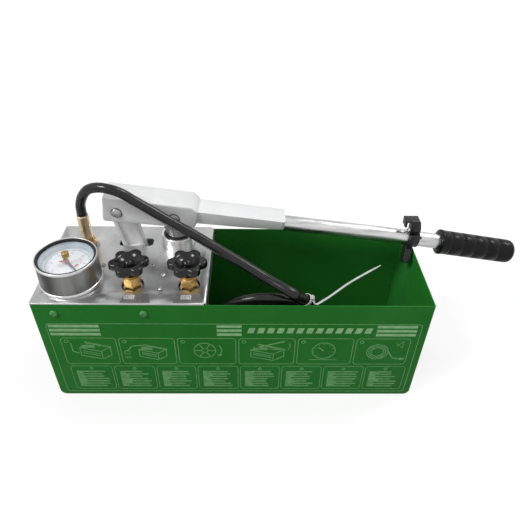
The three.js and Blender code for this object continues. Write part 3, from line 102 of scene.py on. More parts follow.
class Board:
    """Places and joins the nodes of one material or node group."""

    def __init__(self, tree: bpy.types.NodeTree) -> None:
        """Starts on an empty tree.

        Args:
            tree: the node tree to fill.
        """
        self.tree = tree
        tree.nodes.clear()

    def add(self, kind: str, sockets: Optional[dict] = None, **settings) -> Node:
        """Adds a node, sets its settings, and joins or fills its sockets.

        Args:
            kind: the node's type name.
            sockets: a value or an output socket for each input, by name or number.
            settings: the node's own properties.

        Returns:
            The new node.
        """
        node = self.tree.nodes.new(kind)
        for key, value in settings.items():
            setattr(node, key, value)
        for key, value in (sockets or {}).items():
            socket = node.inputs[key]
            if isinstance(value, Socket):
                self.tree.links.new(value, socket)
            elif socket.type == "RGBA" and len(value) == 3:
                socket.default_value = (*value, 1)
            else:
                socket.default_value = value
        return node

    def between(self, factor: Socket, low: float, high: float) -> Socket:
        """A number that runs from low to high as factor runs from 0 to 1."""
        return self.add("ShaderNodeMapRange", {0: factor, 3: low, 4: high}).outputs[0]

    def blend(self, factor: Socket, first: Tone, second: Tone) -> Socket:
        """A colour that runs from first to second as factor runs from 0 to 1."""
        mixed = self.add("ShaderNodeMix", {0: factor, 6: first, 7: second}, data_type="RGBA")
        return mixed.outputs[2]


def effect(name: str, inputs: dict, outputs: Sequence[str], fill: Callable) -> bpy.types.NodeTree:
    """Builds a node group once and gives it back each later time.

    Args:
        name: the group's name.
        inputs: the default of each named input; a tuple makes a vector socket.
        outputs: the names of the outputs, all plain numbers.
        fill: draws the group's nodes on a Board, from its input node, and gives the outputs' sockets.

    Returns:
        The node group.
    """
    found = bpy.data.node_groups.get(name)
    if found:
        return found
    tree = bpy.data.node_groups.new(name, "ShaderNodeTree")
    for key, value in inputs.items():
        kind = "NodeSocketVector" if isinstance(value, tuple) else "NodeSocketFloat"
        socket = tree.interface.new_socket(name=key, in_out="INPUT", socket_type=kind)
        socket.default_value = value
    for key in outputs:
        tree.interface.new_socket(name=key, in_out="OUTPUT", socket_type="NodeSocketFloat")
    board = Board(tree)
    start = board.add("NodeGroupInput")
    board.add("NodeGroupOutput", dict(zip(outputs, fill(board, start))))
    return tree


def mottle(board: Board, start: Node) -> list[Socket]:
    """Draws soft patches.

    Args:
        board: the group's board.
        start: its input node, with a vector and a scale.

    Returns:
        The patches, from 0 to 1.
    """
    bare, full = 0.34, 0.66
    inputs = {"Vector": start.outputs["Vector"], "Scale": start.outputs["Scale"]}
    noise = board.add("ShaderNodeTexNoise", {**inputs, "Detail": 5.0, "Roughness": 0.6})
    levels = {0: noise.outputs[0], 1: bare, 2: full}
    spread = board.add("ShaderNodeMapRange", levels, interpolation_type="SMOOTHSTEP")
    return [spread.outputs[0]]


def grit(board: Board, start: Node) -> list[Socket]:
    """Draws a fine grain with small pits.

    Args:
        board: the group's board.
        start: its input node, with a vector and a scale.

    Returns:
        The grain's height.
    """
    pit_share = 0.55
    inputs = {"Vector": start.outputs["Vector"], "Scale": start.outputs["Scale"]}
    fine = board.add("ShaderNodeTexNoise", {**inputs, "Detail": 3.0})
    cells = board.add("ShaderNodeTexVoronoi", inputs)
    pits = board.add("ShaderNodeMath", {0: cells.outputs["Distance"], 1: pit_share}, operation="MULTIPLY")
    height = board.add("ShaderNodeMath", {0: fine.outputs[0], 1: pits.outputs[0]}, operation="ADD")
    return [height.outputs[0]]


def scuffs(board: Board, start: Node) -> list[Socket]:
    """Draws sparse fine scratches in two directions.

    Args:
        board: the group's board.
        start: its input node, with a vector, a scale and a share.

    Returns:
        The scratches, from 0 to 1.
    """
    ways = ((0.5, (1, 14, 14)), (-0.9, (16, 1, 16)))
    bare, full = 0.66, 0.74
    lines = []
    for turn, stretch in ways:
        where = {"Vector": start.outputs["Vector"], "Rotation": (0, 0, turn), "Scale": stretch}
        laid = board.add("ShaderNodeMapping", where)
        inputs = {"Vector": laid.outputs[0], "Scale": start.outputs["Scale"], "Detail": 2.0}
        noise = board.add("ShaderNodeTexNoise", inputs)
        thin = board.add("ShaderNodeMapRange", {0: noise.outputs[0], 1: bare, 2: full})
        lines.append(thin.outputs[0])
    either = board.add("ShaderNodeMath", {0: lines[0], 1: lines[1]}, operation="MAXIMUM")
    share = {0: either.outputs[0], 1: start.outputs["Share"]}
    return [board.add("ShaderNodeMath", share, operation="MULTIPLY").outputs[0]]


@dataclass(frozen=True)
class Coat:
    """What every finish has: a name, and a material that is made once."""

    name: str

    def material(self) -> bpy.types.Material:
        """The finish's material, made on first use.

        Returns:
            The material.
        """
        found = bpy.data.materials.get(self.name)
        if found:
            return found
        made = bpy.data.materials.new(self.name)
        made.use_nodes = True
        board = Board(made.node_tree)
        board.add("ShaderNodeOutputMaterial", {"Surface": self.shader(board).outputs[0]})
        return made

    def shader(self, board: Board) -> Node:
        """Draws the shader, which each kind of finish has of its own."""
        raise NotImplementedError


@dataclass(frozen=True)
class Finish(Coat):
    """One surface finish: a pattern between two colours, fine grain, and scuffs."""

    light: Colour
    dark: Colour
    roughness: Point2
    metallic: float = 0.0
    shine: float = 0.5
    patch_scale: float = 30.0
    stretch: Point3 = (1.0, 1.0, 1.0)
    centre: Point3 = (0.0, 0.0, 0.0)
    grain_scale: float = 1500.0
    grain: float = 0.15
    grain_depth: float = 0.0002
    scuff: float = 0.15
    scuff_scale: float = 40.0
    worn: Colour = (0.8, 0.8, 0.8)

    def shader(self, board: Board) -> Node:
        """Draws the finish.

        Args:
            board: the material's board.

        Returns:
            The shader node.
        """
        where = board.add("ShaderNodeTexCoord").outputs["Object"]
        off = tuple(-part for part in self.centre)
        centred = board.add("ShaderNodeMapping", {"Vector": where, "Location": off}).outputs[0]
        laid = board.add("ShaderNodeMapping", {"Vector": centred, "Scale": self.stretch}).outputs[0]
        patches = self.placed(board, mottle, "Mask", laid, {"Scale": self.patch_scale})
        grains = self.placed(board, grit, "Height", where, {"Scale": self.grain_scale})
        rubbed = self.placed(board, scuffs, "Mask", where, {"Scale": self.scuff_scale, "Share": self.scuff})
        colour = board.blend(patches, self.dark, self.light)
        relief = {"Strength": self.grain, "Distance": self.grain_depth, "Height": grains}
        inputs = {
            "Base Color": board.blend(rubbed, colour, self.worn),
            "Roughness": board.between(patches, *self.roughness),
            "Metallic": self.metallic,
            "Specular IOR Level": self.shine,
            "Normal": board.add("ShaderNodeBump", relief).outputs[0],
        }
        return board.add("ShaderNodeBsdfPrincipled", inputs)

    @staticmethod
    def placed(
        board: Board, fill: Callable, output: str, where: Socket, values: dict
    ) -> Socket:
        """Places a shared effect on a board.

        Args:
            board: the material's board.
            fill: draws the effect; the group has its name.
            output: the name of the group's output.
            where: the coordinates.
            values: the values of its other inputs.

        Returns:
            The effect's output.
        """
        inputs = {"Vector": (0, 0, 0), **dict.fromkeys(values, 1.0)}
        group = effect(fill.__name__, inputs, [output], fill)
        return board.add("ShaderNodeGroup", {"Vector": where, **values}, node_tree=group).outputs[0]


@dataclass(frozen=True)
class Glass(Coat):
    """Clear glazing with a faint film on it."""

    tint: Colour
    roughness: Point2
    alpha: float = 0.12
    ior: float = 1.45
    film_scale: float = 60.0

    def shader(self, board: Board) -> Node:
        """Draws the glass.

        Args:
            board: the material's board.

        Returns:
            The shader node.
        """
        where = board.add("ShaderNodeTexCoord").outputs["Object"]
        noise = board.add("ShaderNodeTexNoise", {"Vector": where, "Scale": self.film_scale})
        rough = board.between(noise.outputs[0], *self.roughness)
        inputs = {"Base Color": self.tint, "Roughness": rough, "Alpha": self.alpha, "IOR": self.ior}
        return board.add("ShaderNodeBsdfPrincipled", inputs)


def seen(board: Board, mirrored: float = 0.6) -> Socket:
    """A value that is 1 where the camera or a glass looks.

    Args:
        board: the board to draw on.
        mirrored: the value where a mirror looks.

    Returns:
        The value.
    """
    path = board.add("ShaderNodeLightPath").outputs
    mirror = board.add("ShaderNodeMath", {0: path["Is Glossy Ray"], 1: mirrored}, operation="MULTIPLY")
    value = mirror.outputs[0]
    for ray in ("Is Camera Ray", "Is Transmission Ray"):
        value = board.add("ShaderNodeMath", {0: value, 1: path[ray]}, operation="MAXIMUM").outputs[0]
    return value


@dataclass(frozen=True)
class FloorPaint(Coat):
    """A matt floor that glows to white where it is seen."""

    grey: float
    glow: float

    def shader(self, board: Board) -> Node:
        """Draws the floor.

        Args:
            board: the material's board.

        Returns:
            The shader node.
        """
        matt = board.add("ShaderNodeBsdfDiffuse", {"Color": (self.grey,) * 3})
        lift = board.add("ShaderNodeMath", {0: seen(board), 1: self.glow}, operation="MULTIPLY")
        glow = board.add("ShaderNodeEmission", {"Color": (1, 1, 1), "Strength": lift.outputs[0]})
        return board.add("ShaderNodeAddShader", {0: matt.outputs[0], 1: glow.outputs[0]})


GREEN = Finish(
    "green_enamel", light=(0.025, 0.198, 0.029), dark=(0.018, 0.172, 0.021), roughness=(0.36, 0.48),
    shine=0.08, patch_scale=9, grain_scale=500, grain=0.06, scuff=0.1, worn=(0.09, 0.3, 0.1),
)
PRINT = Finish(
    "panel_print", light=(0.36, 0.64, 0.32), dark=(0.27, 0.53, 0.24), roughness=(0.5, 0.6),
    shine=0.15, patch_scale=120, scuff=0.25, worn=(0.06, 0.24, 0.06),
)
FINE_PRINT = Finish(
    "panel_fine_print", light=(0.2, 0.46, 0.18), dark=(0.13, 0.36, 0.12), roughness=(0.5, 0.6),
    shine=0.1, patch_scale=120, scuff=0.25, worn=(0.06, 0.24, 0.06),
)
DECK = Finish(
    "deck_stainless", light=(0.64, 0.64, 0.635), dark=(0.5, 0.505, 0.51), roughness=(0.29, 0.39),
    metallic=1.0, patch_scale=30, stretch=(1, 0.7, 1), grain_scale=2200, grain=0.08, scuff=0.3,
    scuff_scale=50,
)
BEZEL = Finish(
    "polished_rim", light=(0.84, 0.84, 0.84), dark=(0.7, 0.7, 0.71), roughness=(0.26, 0.36),
    metallic=1.0, patch_scale=60, grain=0.04,
)
# Dark and light upright bands in the case's metal colour: painted reflections of the surround.
CASE_REFLECTION_BANDS = Finish(
    "gauge_case_painted_reflections", light=(0.3, 0.3, 0.295), dark=(0.07, 0.07, 0.07), roughness=(0.28, 0.4),
    metallic=1.0, patch_scale=22, stretch=(1, 1, 0.05), grain_scale=1800, grain=0.06, scuff=0.1,
    scuff_scale=60, centre=(-0.213, -0.03, 0),
)
ZINC = Finish(
    "bright_zinc", light=(0.8, 0.81, 0.82), dark=(0.6, 0.61, 0.62), roughness=(0.24, 0.38),
    metallic=1.0, patch_scale=70, grain=0.1,
)
PIN = Finish(
    "turned_pin", light=(0.66, 0.66, 0.66), dark=(0.54, 0.54, 0.545), roughness=(0.3, 0.42),
    metallic=1.0, patch_scale=90, grain=0.1,
)
TUBE = Finish(
    "handle_tube_zinc", light=(0.84, 0.84, 0.84), dark=(0.54, 0.54, 0.55), roughness=(0.24, 0.36),
    metallic=1.0, patch_scale=130, stretch=(0.08, 1, 1), grain_scale=1800, grain=0.08, scuff=0.25,
    scuff_scale=60,
)
CAST = Finish(
    "cast_alloy", light=(0.56, 0.565, 0.57), dark=(0.42, 0.425, 0.43), roughness=(0.42, 0.58),
    metallic=0.7, patch_scale=45, grain_scale=900, grain=0.35,
)
BARREL = Finish(
    "turned_alloy", light=(0.97, 0.97, 0.97), dark=(0.91, 0.91, 0.915), roughness=(0.32, 0.4),
    metallic=1.0, patch_scale=260, stretch=(0.04, 0.04, 1), grain_scale=1600, grain=0.06, scuff=0.1,
)
DARK_STEEL = Finish(
    "hardened_steel", light=(0.42, 0.42, 0.425), dark=(0.3, 0.3, 0.305), roughness=(0.26, 0.38),
    metallic=1.0, patch_scale=60, grain=0.04, scuff=0.05,
)
# Near-black finish of the rings behind the pin holes: painted shade in the gaps round the pins.
PIN_GAP_SHADE = Finish(
    "pin_gap_painted_shade", light=(0.03, 0.03, 0.03), dark=(0.012, 0.012, 0.012), roughness=(0.4, 0.5),
    shine=0.2, patch_scale=90,
)
LEVER_PAINT = Finish(
    "lever_silver", light=(0.82, 0.825, 0.83), dark=(0.77, 0.775, 0.78), roughness=(0.42, 0.54),
    metallic=0.1, shine=0.3, patch_scale=24, grain_scale=1900, grain=0.14, scuff=0.2,
    worn=(0.85, 0.85, 0.85),
)
# A much lighter copy of the cast finish: the link's pale grey plus painted light that lifts it out of the
# lever head's shade.
LINK_CAST_PAINTED_LIGHT = Finish(
    "link_cast", light=(0.95, 0.955, 0.96), dark=(0.86, 0.865, 0.87), roughness=(0.42, 0.58),
    metallic=0.1, patch_scale=45, grain_scale=900, grain=0.3,
)
# A paler copy of the brass for the outlet sleeve: painted highlight on the sleeve.
SLEEVE_BRASS_PAINTED_LIGHT = Finish(
    "brass_painted_light", light=(0.95, 0.79, 0.54), dark=(0.76, 0.6, 0.37), roughness=(0.28, 0.38),
    metallic=0.9, patch_scale=30, grain=0.06, scuff=0.05, worn=(0.9, 0.8, 0.6),
)
BRASS = Finish(
    "machined_brass", light=(0.62, 0.41, 0.15), dark=(0.4, 0.24, 0.07), roughness=(0.26, 0.38),
    metallic=1.0, patch_scale=30, grain=0.06, scuff=0.08, worn=(0.8, 0.66, 0.36),
)
RUBBER = Finish(
    "grip_rubber", light=(0.008, 0.008, 0.008), dark=(0.005, 0.005, 0.005), roughness=(0.22, 0.32),
    shine=0.2, patch_scale=60, grain_scale=900, grain=0.3, worn=(0.05, 0.05, 0.05),
)
SEAL = Finish(
    "seal_rubber", light=(0.02, 0.02, 0.021), dark=(0.01, 0.01, 0.01), roughness=(0.3, 0.45),
    shine=0.3, patch_scale=90, grain_scale=1200, grain=0.2, worn=(0.05, 0.05, 0.05),
)
HOSE = Finish(
    "hose_cover", light=(0.011, 0.011, 0.011), dark=(0.006, 0.006, 0.006), roughness=(0.2, 0.27),
    shine=0.45, patch_scale=60, grain_scale=1400, grain=0.06, scuff=0.02, worn=(0.05, 0.05, 0.05),
)
GLOSS = Finish(
    "knob_gloss", light=(0.006, 0.006, 0.006), dark=(0.003, 0.003, 0.003), roughness=(0.13, 0.2),
    shine=0.45, patch_scale=60, grain=0.04, scuff=0.05, worn=(0.06, 0.06, 0.06),
)
PLASTIC = Finish(
    "clip_plastic", light=(0.022, 0.022, 0.022), dark=(0.012, 0.012, 0.012), roughness=(0.32, 0.44),
    shine=0.4, patch_scale=70, grain_scale=1100, grain=0.15, worn=(0.06, 0.06, 0.06),
)
WHITE = Finish(
    "natural_nylon", light=(0.6, 0.61, 0.6), dark=(0.5, 0.51, 0.49), roughness=(0.4, 0.55),
    patch_scale=80, grain=0.12,
)
DIAL = Finish(
    "dial_enamel", light=(0.95, 0.97, 0.99), dark=(0.91, 0.93, 0.96), roughness=(0.45, 0.6),
    shine=0.2, patch_scale=50, grain=0.03, scuff=0.0,
)
SPACER = Finish(
    "spacer_white", light=(0.64, 0.71, 0.76), dark=(0.46, 0.54, 0.61), roughness=(0.3, 0.45),
    shine=0.3, patch_scale=25, grain=0.05, scuff=0.0,
)
INK = Finish(
    "dial_ink", light=(0.3, 0.32, 0.38), dark=(0.22, 0.24, 0.3), roughness=(0.5, 0.6),
    patch_scale=200, scuff=0.0,
)
RED_INK = Finish(
    "dial_red", light=(0.7, 0.16, 0.15), dark=(0.6, 0.1, 0.1), roughness=(0.45, 0.6), patch_scale=200,
    scuff=0.0,
)
RED = Finish(
    "drag_hand_red", light=(0.62, 0.07, 0.06), dark=(0.5, 0.05, 0.04), roughness=(0.4, 0.5),
    patch_scale=200, scuff=0.0,
)
BLUE = Finish(
    "pointer_enamel", light=(0.03, 0.045, 0.075), dark=(0.02, 0.03, 0.05), roughness=(0.3, 0.42),
    patch_scale=200, scuff=0.05,
)
# A lighter copy of the tank's green for the wall screws' heads: painted highlight on the domes.
SCREW_GREEN_PAINTED_LIGHT = Finish(
    "screw_enamel_painted_light", light=(0.07, 0.32, 0.08), dark=(0.04, 0.24, 0.05), roughness=(0.24, 0.34),
    shine=0.6, patch_scale=90,
)
# Dark grey of the trapezoids before the valves: painted shade and dark reflection of the wheels on the deck.
KNOB_SHADE_PAINT = Finish(
    "knob_painted_shade", light=(0.26, 0.26, 0.26), dark=(0.19, 0.19, 0.19), roughness=(0.34, 0.44),
    metallic=0.5, patch_scale=60,
)
MARK = Finish(
    "mark_white", light=(0.6, 0.61, 0.62), dark=(0.5, 0.51, 0.52), roughness=(0.4, 0.5),
    patch_scale=150,
)
GLASS = Glass(
    "gauge_glass", tint=(0.93, 0.96, 0.98), roughness=(0.02, 0.06),
)


def linked(name: str, data: bpy.types.ID) -> Piece:
    """Makes an object and links it to the scene.

    Args:
        name: the object's name.
        data: its mesh, curve, lamp or camera.

    Returns:
        The object.
    """
    made = bpy.data.objects.new(name, data)
    bpy.context.scene.collection.objects.link(made)
    return made


def settle(
    shape: Shape,
    name: str,
    finish: Coat,
    body: Body,
    stands_for: Sequence[str] = (),
    place: Matrix = Matrix(),
    crease: float = 32.0,
) -> Piece:
    """Turns a shape in millimetres into a finished piece in the frame.

    Args:
        shape: the shape; it is freed.
        name: the piece's name.
        finish: its finish.
        body: the body that it rides on.
        stands_for: the CAD nodes that it replaces.
        place: its place, in millimetres.
        crease: the angle in degrees over which an edge stays sharp.

    Returns:
        The piece.
    """
    bmesh.ops.remove_doubles(shape, verts=shape.verts, dist=NEAR)
    bmesh.ops.transform(shape, matrix=Matrix.Scale(MM, 4) @ place, verts=shape.verts)
    for face in shape.faces:
        face.smooth = True
    limit = math.radians(crease)
    for edge in shape.edges:
        edge.smooth = edge.calc_face_angle(0.0) < limit
    mesh = bpy.data.meshes.new(name)
    shape.to_mesh(mesh)
    shape.free()
    piece = linked(name, mesh)
    mesh.materials.append(finish.material())
    if stands_for:
        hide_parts(*stands_for)
    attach(piece, body.value)
    LOG.info("%s: %d faces on %s", name, len(mesh.polygons), body.value)
    return piece


def dress(finish: Coat, *names: str) -> None:
    """Gives CAD nodes that keep their shape a finish.

    Args:
        finish: the finish.
        names: the nodes' names.
    """
    for name in names:
        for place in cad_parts[name].material_slots:
            place.material = finish.material()
        LOG.info("%s: dressed in %s", name, finish.name)


def thickened(piece: Piece, sheet: float, edge: float) -> None:
    """Gives a sheet piece its thickness inwards and eases its rims.

    Args:
        piece: the piece.
        sheet: the thickness in millimetres.
        edge: the width of its rims' round.
    """
    wall = piece.modifiers.new("sheet", "SOLIDIFY")
    wall.thickness = sheet * MM
    wall.offset = -1
    wall.use_even_offset = True
    rim = piece.modifiers.new("rims", "BEVEL")
    rim.width = edge * MM
    rim.segments = 2
    rim.limit_method = "ANGLE"
    rim.angle_limit = math.radians(50)


def recalculated(shape: Shape) -> Shape:
    """Merges doubles and points all faces outwards.

    Args:
        shape: the shape.

    Returns:
        The same shape.
    """
    bmesh.ops.remove_doubles(shape, verts=shape.verts, dist=NEAR)
    bmesh.ops.recalc_face_normals(shape, faces=shape.faces)
    return shape


def upturned(shape: Shape) -> Shape:
    """Turns an open sheet's faces over if its top looks down.

    Args:
        shape: the sheet.

    Returns:
        The same sheet.
    """
    if sum(face.normal.z for face in shape.faces) < 0:
        bmesh.ops.reverse_faces(shape, faces=shape.faces)
    return shape


def eased(shape: Shape, width: float, steps: int = 2, over: float = 28.0) -> Shape:
    """Rounds the edges where two faces meet at more than an angle.

    Args:
        shape: the shape to round.
        width: the width of the round.
        steps: the number of faces across it.
        over: the angle in degrees.

    Returns:
        The same shape.
    """
    limit = math.radians(over)
    edges = [edge for edge in shape.edges if edge.calc_face_angle(0.0) > limit]
    bmesh.ops.bevel(
        shape,
        geom=edges,
        offset=width,
        segments=steps,
        profile=0.5,
        affect="EDGES",
        clamp_overlap=True,
        material=-1,
    )
    return shape


def turned(profile: Sequence[Point2], sides: int = 64, closed: bool = False) -> Shape:
    """Spins a profile of radius and height about the Z axis.

    Args:
        profile: the points, from foot to top.
        sides: the number of steps round.
        closed: joins the last point to the first.

    Returns:
        The shape.
    """
    shape = bmesh.new()
    spots = [shape.verts.new((radius, 0, height)) for radius, height in profile]
    pairs = list(zip(spots, spots[1:])) + ([(spots[-1], spots[0])] if closed else [])
    edges = [shape.edges.new(pair) for pair in pairs]
    bmesh.ops.spin(
        shape, geom=spots + edges, cent=(0, 0, 0), axis=(0, 0, 1), angle=TURN, steps=sides, use_merge=True
    )
    return recalculated(shape)


def picked(geom: Iterable, kind: type) -> list:
    """The items of one kind in what an operator gives back."""
    return [item for item in geom if isinstance(item, kind)]


def lofted(rings: Sequence[Sequence[Vector]], capped: bool = True) -> Shape:
    """Extrudes a loop of points through a row of loops with as many points.

    Args:
        rings: the loops.
        capped: closes both ends.

    Returns:
        The shape.
    """
    shape = bmesh.new()
    loop = [shape.verts.new(point) for point in rings[0]]
    edges = [shape.edges.new(pair) for pair in zip(loop, loop[1:] + loop[:1])]
    first = edges
    for ring in rings[1:]:
        grown = bmesh.ops.extrude_edge_only(shape, edges=edges)["geom"]
        fresh = set(picked(grown, bmesh.types.BMVert))
        loop = [next(e.other_vert(v) for e in v.link_edges if e.other_vert(v) in fresh) for v in loop]
        for vert, point in zip(loop, ring):
            vert.co = point
        edges = [shape.edges.get(pair) for pair in zip(loop, loop[1:] + loop[:1])]
    if capped:
        for ends in (first, edges):
            bmesh.ops.contextual_create(shape, geom=ends)
    return recalculated(shape)


def filled(loops: Sequence[Sequence[Point3]]) -> Shape:
    """Fills a flat outline, but not its holes.

    Args:
        loops: the outline, then the holes.

    Returns:
        The flat sheet.
    """
    shape = bmesh.new()
    edges = []
    for loop in loops:
        spots = [shape.verts.new(point) for point in loop]
        edges += [shape.edges.new(pair) for pair in zip(spots, spots[1:] + spots[:1])]
    bmesh.ops.triangle_fill(shape, edges=edges, use_beauty=True, use_dissolve=False)
    return shape


def raised(shape: Shape, shift: Point3) -> Shape:
    """Extrudes a flat sheet into a solid.

    Args:
        shape: the sheet.
        shift: how far and in which direction.

    Returns:
        The same shape, closed.
    """
    grown = bmesh.ops.extrude_face_region(shape, geom=shape.faces[:])["geom"]
    bmesh.ops.translate(shape, vec=shift, verts=picked(grown, bmesh.types.BMVert))
    return recalculated(shape)


def plate(loops: Sequence[Sequence[Point2]], low: float, high: float) -> Shape:
    """A flat plate in X and Y from one height to another, its first loop outside and the others holes."""
    return raised(filled([[(x, y, low) for x, y in loop] for loop in loops]), (0, 0, high - low))


def added(*shapes: Shape) -> Shape:
    """Puts several shapes into the first.

    Args:
        shapes: the shapes; all but the first are freed.

    Returns:
        The first shape.
    """
    whole = shapes[0]
    for other in shapes[1:]:
        carrier = bpy.data.meshes.new("carrier")
        other.to_mesh(carrier)
        other.free()
        whole.from_mesh(carrier)
        bpy.data.meshes.remove(carrier)
    return whole


def block(low: Point3, high: Point3) -> Shape:
    """A box between two corners.

    Args:
        low: the corner with the smallest coordinates.
        high: the opposite corner.

    Returns:
        The closed shape.
    """
    shape = bmesh.new()
    size = [b - a for a, b in zip(low, high)]
    middle = [(a + b) / 2 for a, b in zip(low, high)]
    bmesh.ops.create_cube(shape, size=1, matrix=Matrix.Translation(middle) @ Matrix.Diagonal((*size, 1)))
    return shape


def moved(shape: Shape, matrix: Matrix) -> Shape:
    """Moves a whole shape and gives it back."""
    bmesh.ops.transform(shape, matrix=matrix, verts=shape.verts)
    return shape


def arc(centre: Point2, radius: float, start: float, end: float, steps: int) -> list[Point2]:
    """Points along an arc, its angles in degrees."""
    turns = [math.radians(start + (end - start) * step / steps) for step in range(steps + 1)]
    return [(centre[0] + radius * math.cos(turn), centre[1] + radius * math.sin(turn)) for turn in turns]


def circle(centre: Point2, radius: float, sides: int = 48) -> list[Point2]:
    """Points round a circle, the last short of the first."""
    return arc(centre, radius, 0, 360, sides)[:-1]


def rounded(low: Point2, high: Point2, corner: float, steps: int = 5) -> list[Point2]:
    """Points round a rectangle with round corners.

    Args:
        low: the corner with the smallest coordinates.
        high: the opposite corner.
        corner: the corners' radius.
        steps: the number of steps round each.

    Returns:
        The outline.
    """
    left, foot, right, top = low[0] + corner, low[1] + corner, high[0] - corner, high[1] - corner
    points = arc((right, foot), corner, -90, 0, steps) + arc((right, top), corner, 0, 90, steps)
    return points + arc((left, top), corner, 90, 180, steps) + arc((left, foot), corner, 180, 270, steps)


def hoop(reaches: Sequence[float], height: float) -> list[Vector]:
    """A ring of points about the Z axis.

    Args:
        reaches: the distance of each point from the axis.
        height: their height.

    Returns:
        The points.
    """
    turns = [TURN * index / len(reaches) for index in range(len(reaches))]
    pairs = zip(turns, reaches)
    return [Vector((reach * math.cos(turn), reach * math.sin(turn), height)) for turn, reach in pairs]


def at(x: float, y: float, z: float) -> Matrix:
    """A shift."""
    return Matrix.Translation((x, y, z))


def about(axis: str, turn: float) -> Matrix:
    """A turn in radians about a main axis."""
    return Matrix.Rotation(turn, 4, axis)


# An outline in X and Y stands up in X and Z, and its thickness runs to the front
UPRIGHT = about("X", math.pi / 2)


def hexed(across: float, low: float, high: float, chamfer: float, foot_chamfer: float) -> Shape:
    """A hexagon nut whose corners are turned off.

    Args:
        across: its width across flats.
        low: the height of its foot.
        high: the height of its top.
        chamfer: how far the turned corners reach down.
        foot_chamfer: how far they reach up from the foot.

    Returns:
        The closed shape.
    """
    sides, steps = 72, 4
    sixth = math.pi / 3
    flat = across / 2
    corner = flat / math.cos(sixth / 2)
    foot_share, top_share = 0.97, 0.95
    foot_limit, top_limit = flat * foot_share, flat * top_share
    offs = [(TURN * step / sides + sixth / 2) % sixth - sixth / 2 for step in range(sides)]

    def ring(height: float, limit: float) -> list[Vector]:
        """A hexagon with its corners held inside a radius."""
        return hoop([min(flat / math.cos(off), limit) for off in offs], height)

    rings = []
    for step in range(steps + 1):
        share = step / steps
        rings.append(ring(low + foot_chamfer * share, foot_limit + (corner - foot_limit) * share))
    for step in range(steps + 1):
        share = step / steps
        rings.append(ring(high - chamfer * (1 - share), corner + (top_limit - corner) * share))
    return lofted(rings)


def smoothed(points: Sequence[Vector], parts: int) -> list[Vector]:
    """A smooth line through points, as a centripetal Catmull-Rom curve.

    Args:
        points: the points that it passes.
        parts: the number of steps from each to the next.

    Returns:
        The line's own points.
    """
    row = [points[0] * 2 - points[1], *points, points[-1] * 2 - points[-2]]
    line = []
    for a, b, c, d in zip(row, row[1:], row[2:], row[3:]):
        knots = [0.0]
        for near, far in ((a, b), (b, c), (c, d)):
            knots.append(knots[-1] + max((far - near).length, NEAR) ** 0.5)
        t0, t1, t2, t3 = knots
        for part in range(parts):
            t = t1 + (t2 - t1) * part / parts
            a1 = a * ((t1 - t) / (t1 - t0)) + b * ((t - t0) / (t1 - t0))
            a2 = b * ((t2 - t) / (t2 - t1)) + c * ((t - t1) / (t2 - t1))
            a3 = c * ((t3 - t) / (t3 - t2)) + d * ((t - t2) / (t3 - t2))
            b1 = a1 * ((t2 - t) / (t2 - t0)) + a2 * ((t - t0) / (t2 - t0))
            b2 = a2 * ((t3 - t) / (t3 - t1)) + a3 * ((t - t1) / (t3 - t1))
            line.append(b1 * ((t2 - t) / (t2 - t1)) + b2 * ((t - t1) / (t2 - t1)))
    return [*line, points[-1].copy()]


@dataclass
class Tank:
    """The open sheet-steel tank with its bent bottom."""

    length: float = 500
    width: float = 164
    height: float = 176
    sheet: float = 1.5
    bend: float = 9
    bend_steps: int = 8
    seam: float = 1.8
    edge: float = 0.35

    def build(self) -> None:
        """Builds the shell over the wrap and the front and back plates."""
        shell = block((-self.length / 2, -self.width / 2, 0), (self.length / 2, self.width / 2, self.height))
        lid = [face for face in shell.faces if face.normal.z > FACING]
        bmesh.ops.delete(shell, geom=lid, context="FACES")
        ends = []
        for edge in shell.edges:
            first, last = (vert.co for vert in edge.verts)
            if max(first.z, last.z) < self.sheet and abs(first.x - last.x) < self.sheet:
                ends.append(edge)
        bmesh.ops.bevel(
            shell,
            geom=ends,
            offset=self.bend,
            segments=self.bend_steps,
            profile=0.5,
            affect="EDGES",
            material=-1,
        )
        recalculated(shell)
        eased(shell, self.seam, 3, 60)
        nodes = ("tank_wrap", "tank_front_plate", "tank_back_plate")
        piece = settle(shell, "tank_shell", GREEN, Body.FRAME, nodes)
        thickened(piece, self.sheet, self.edge)


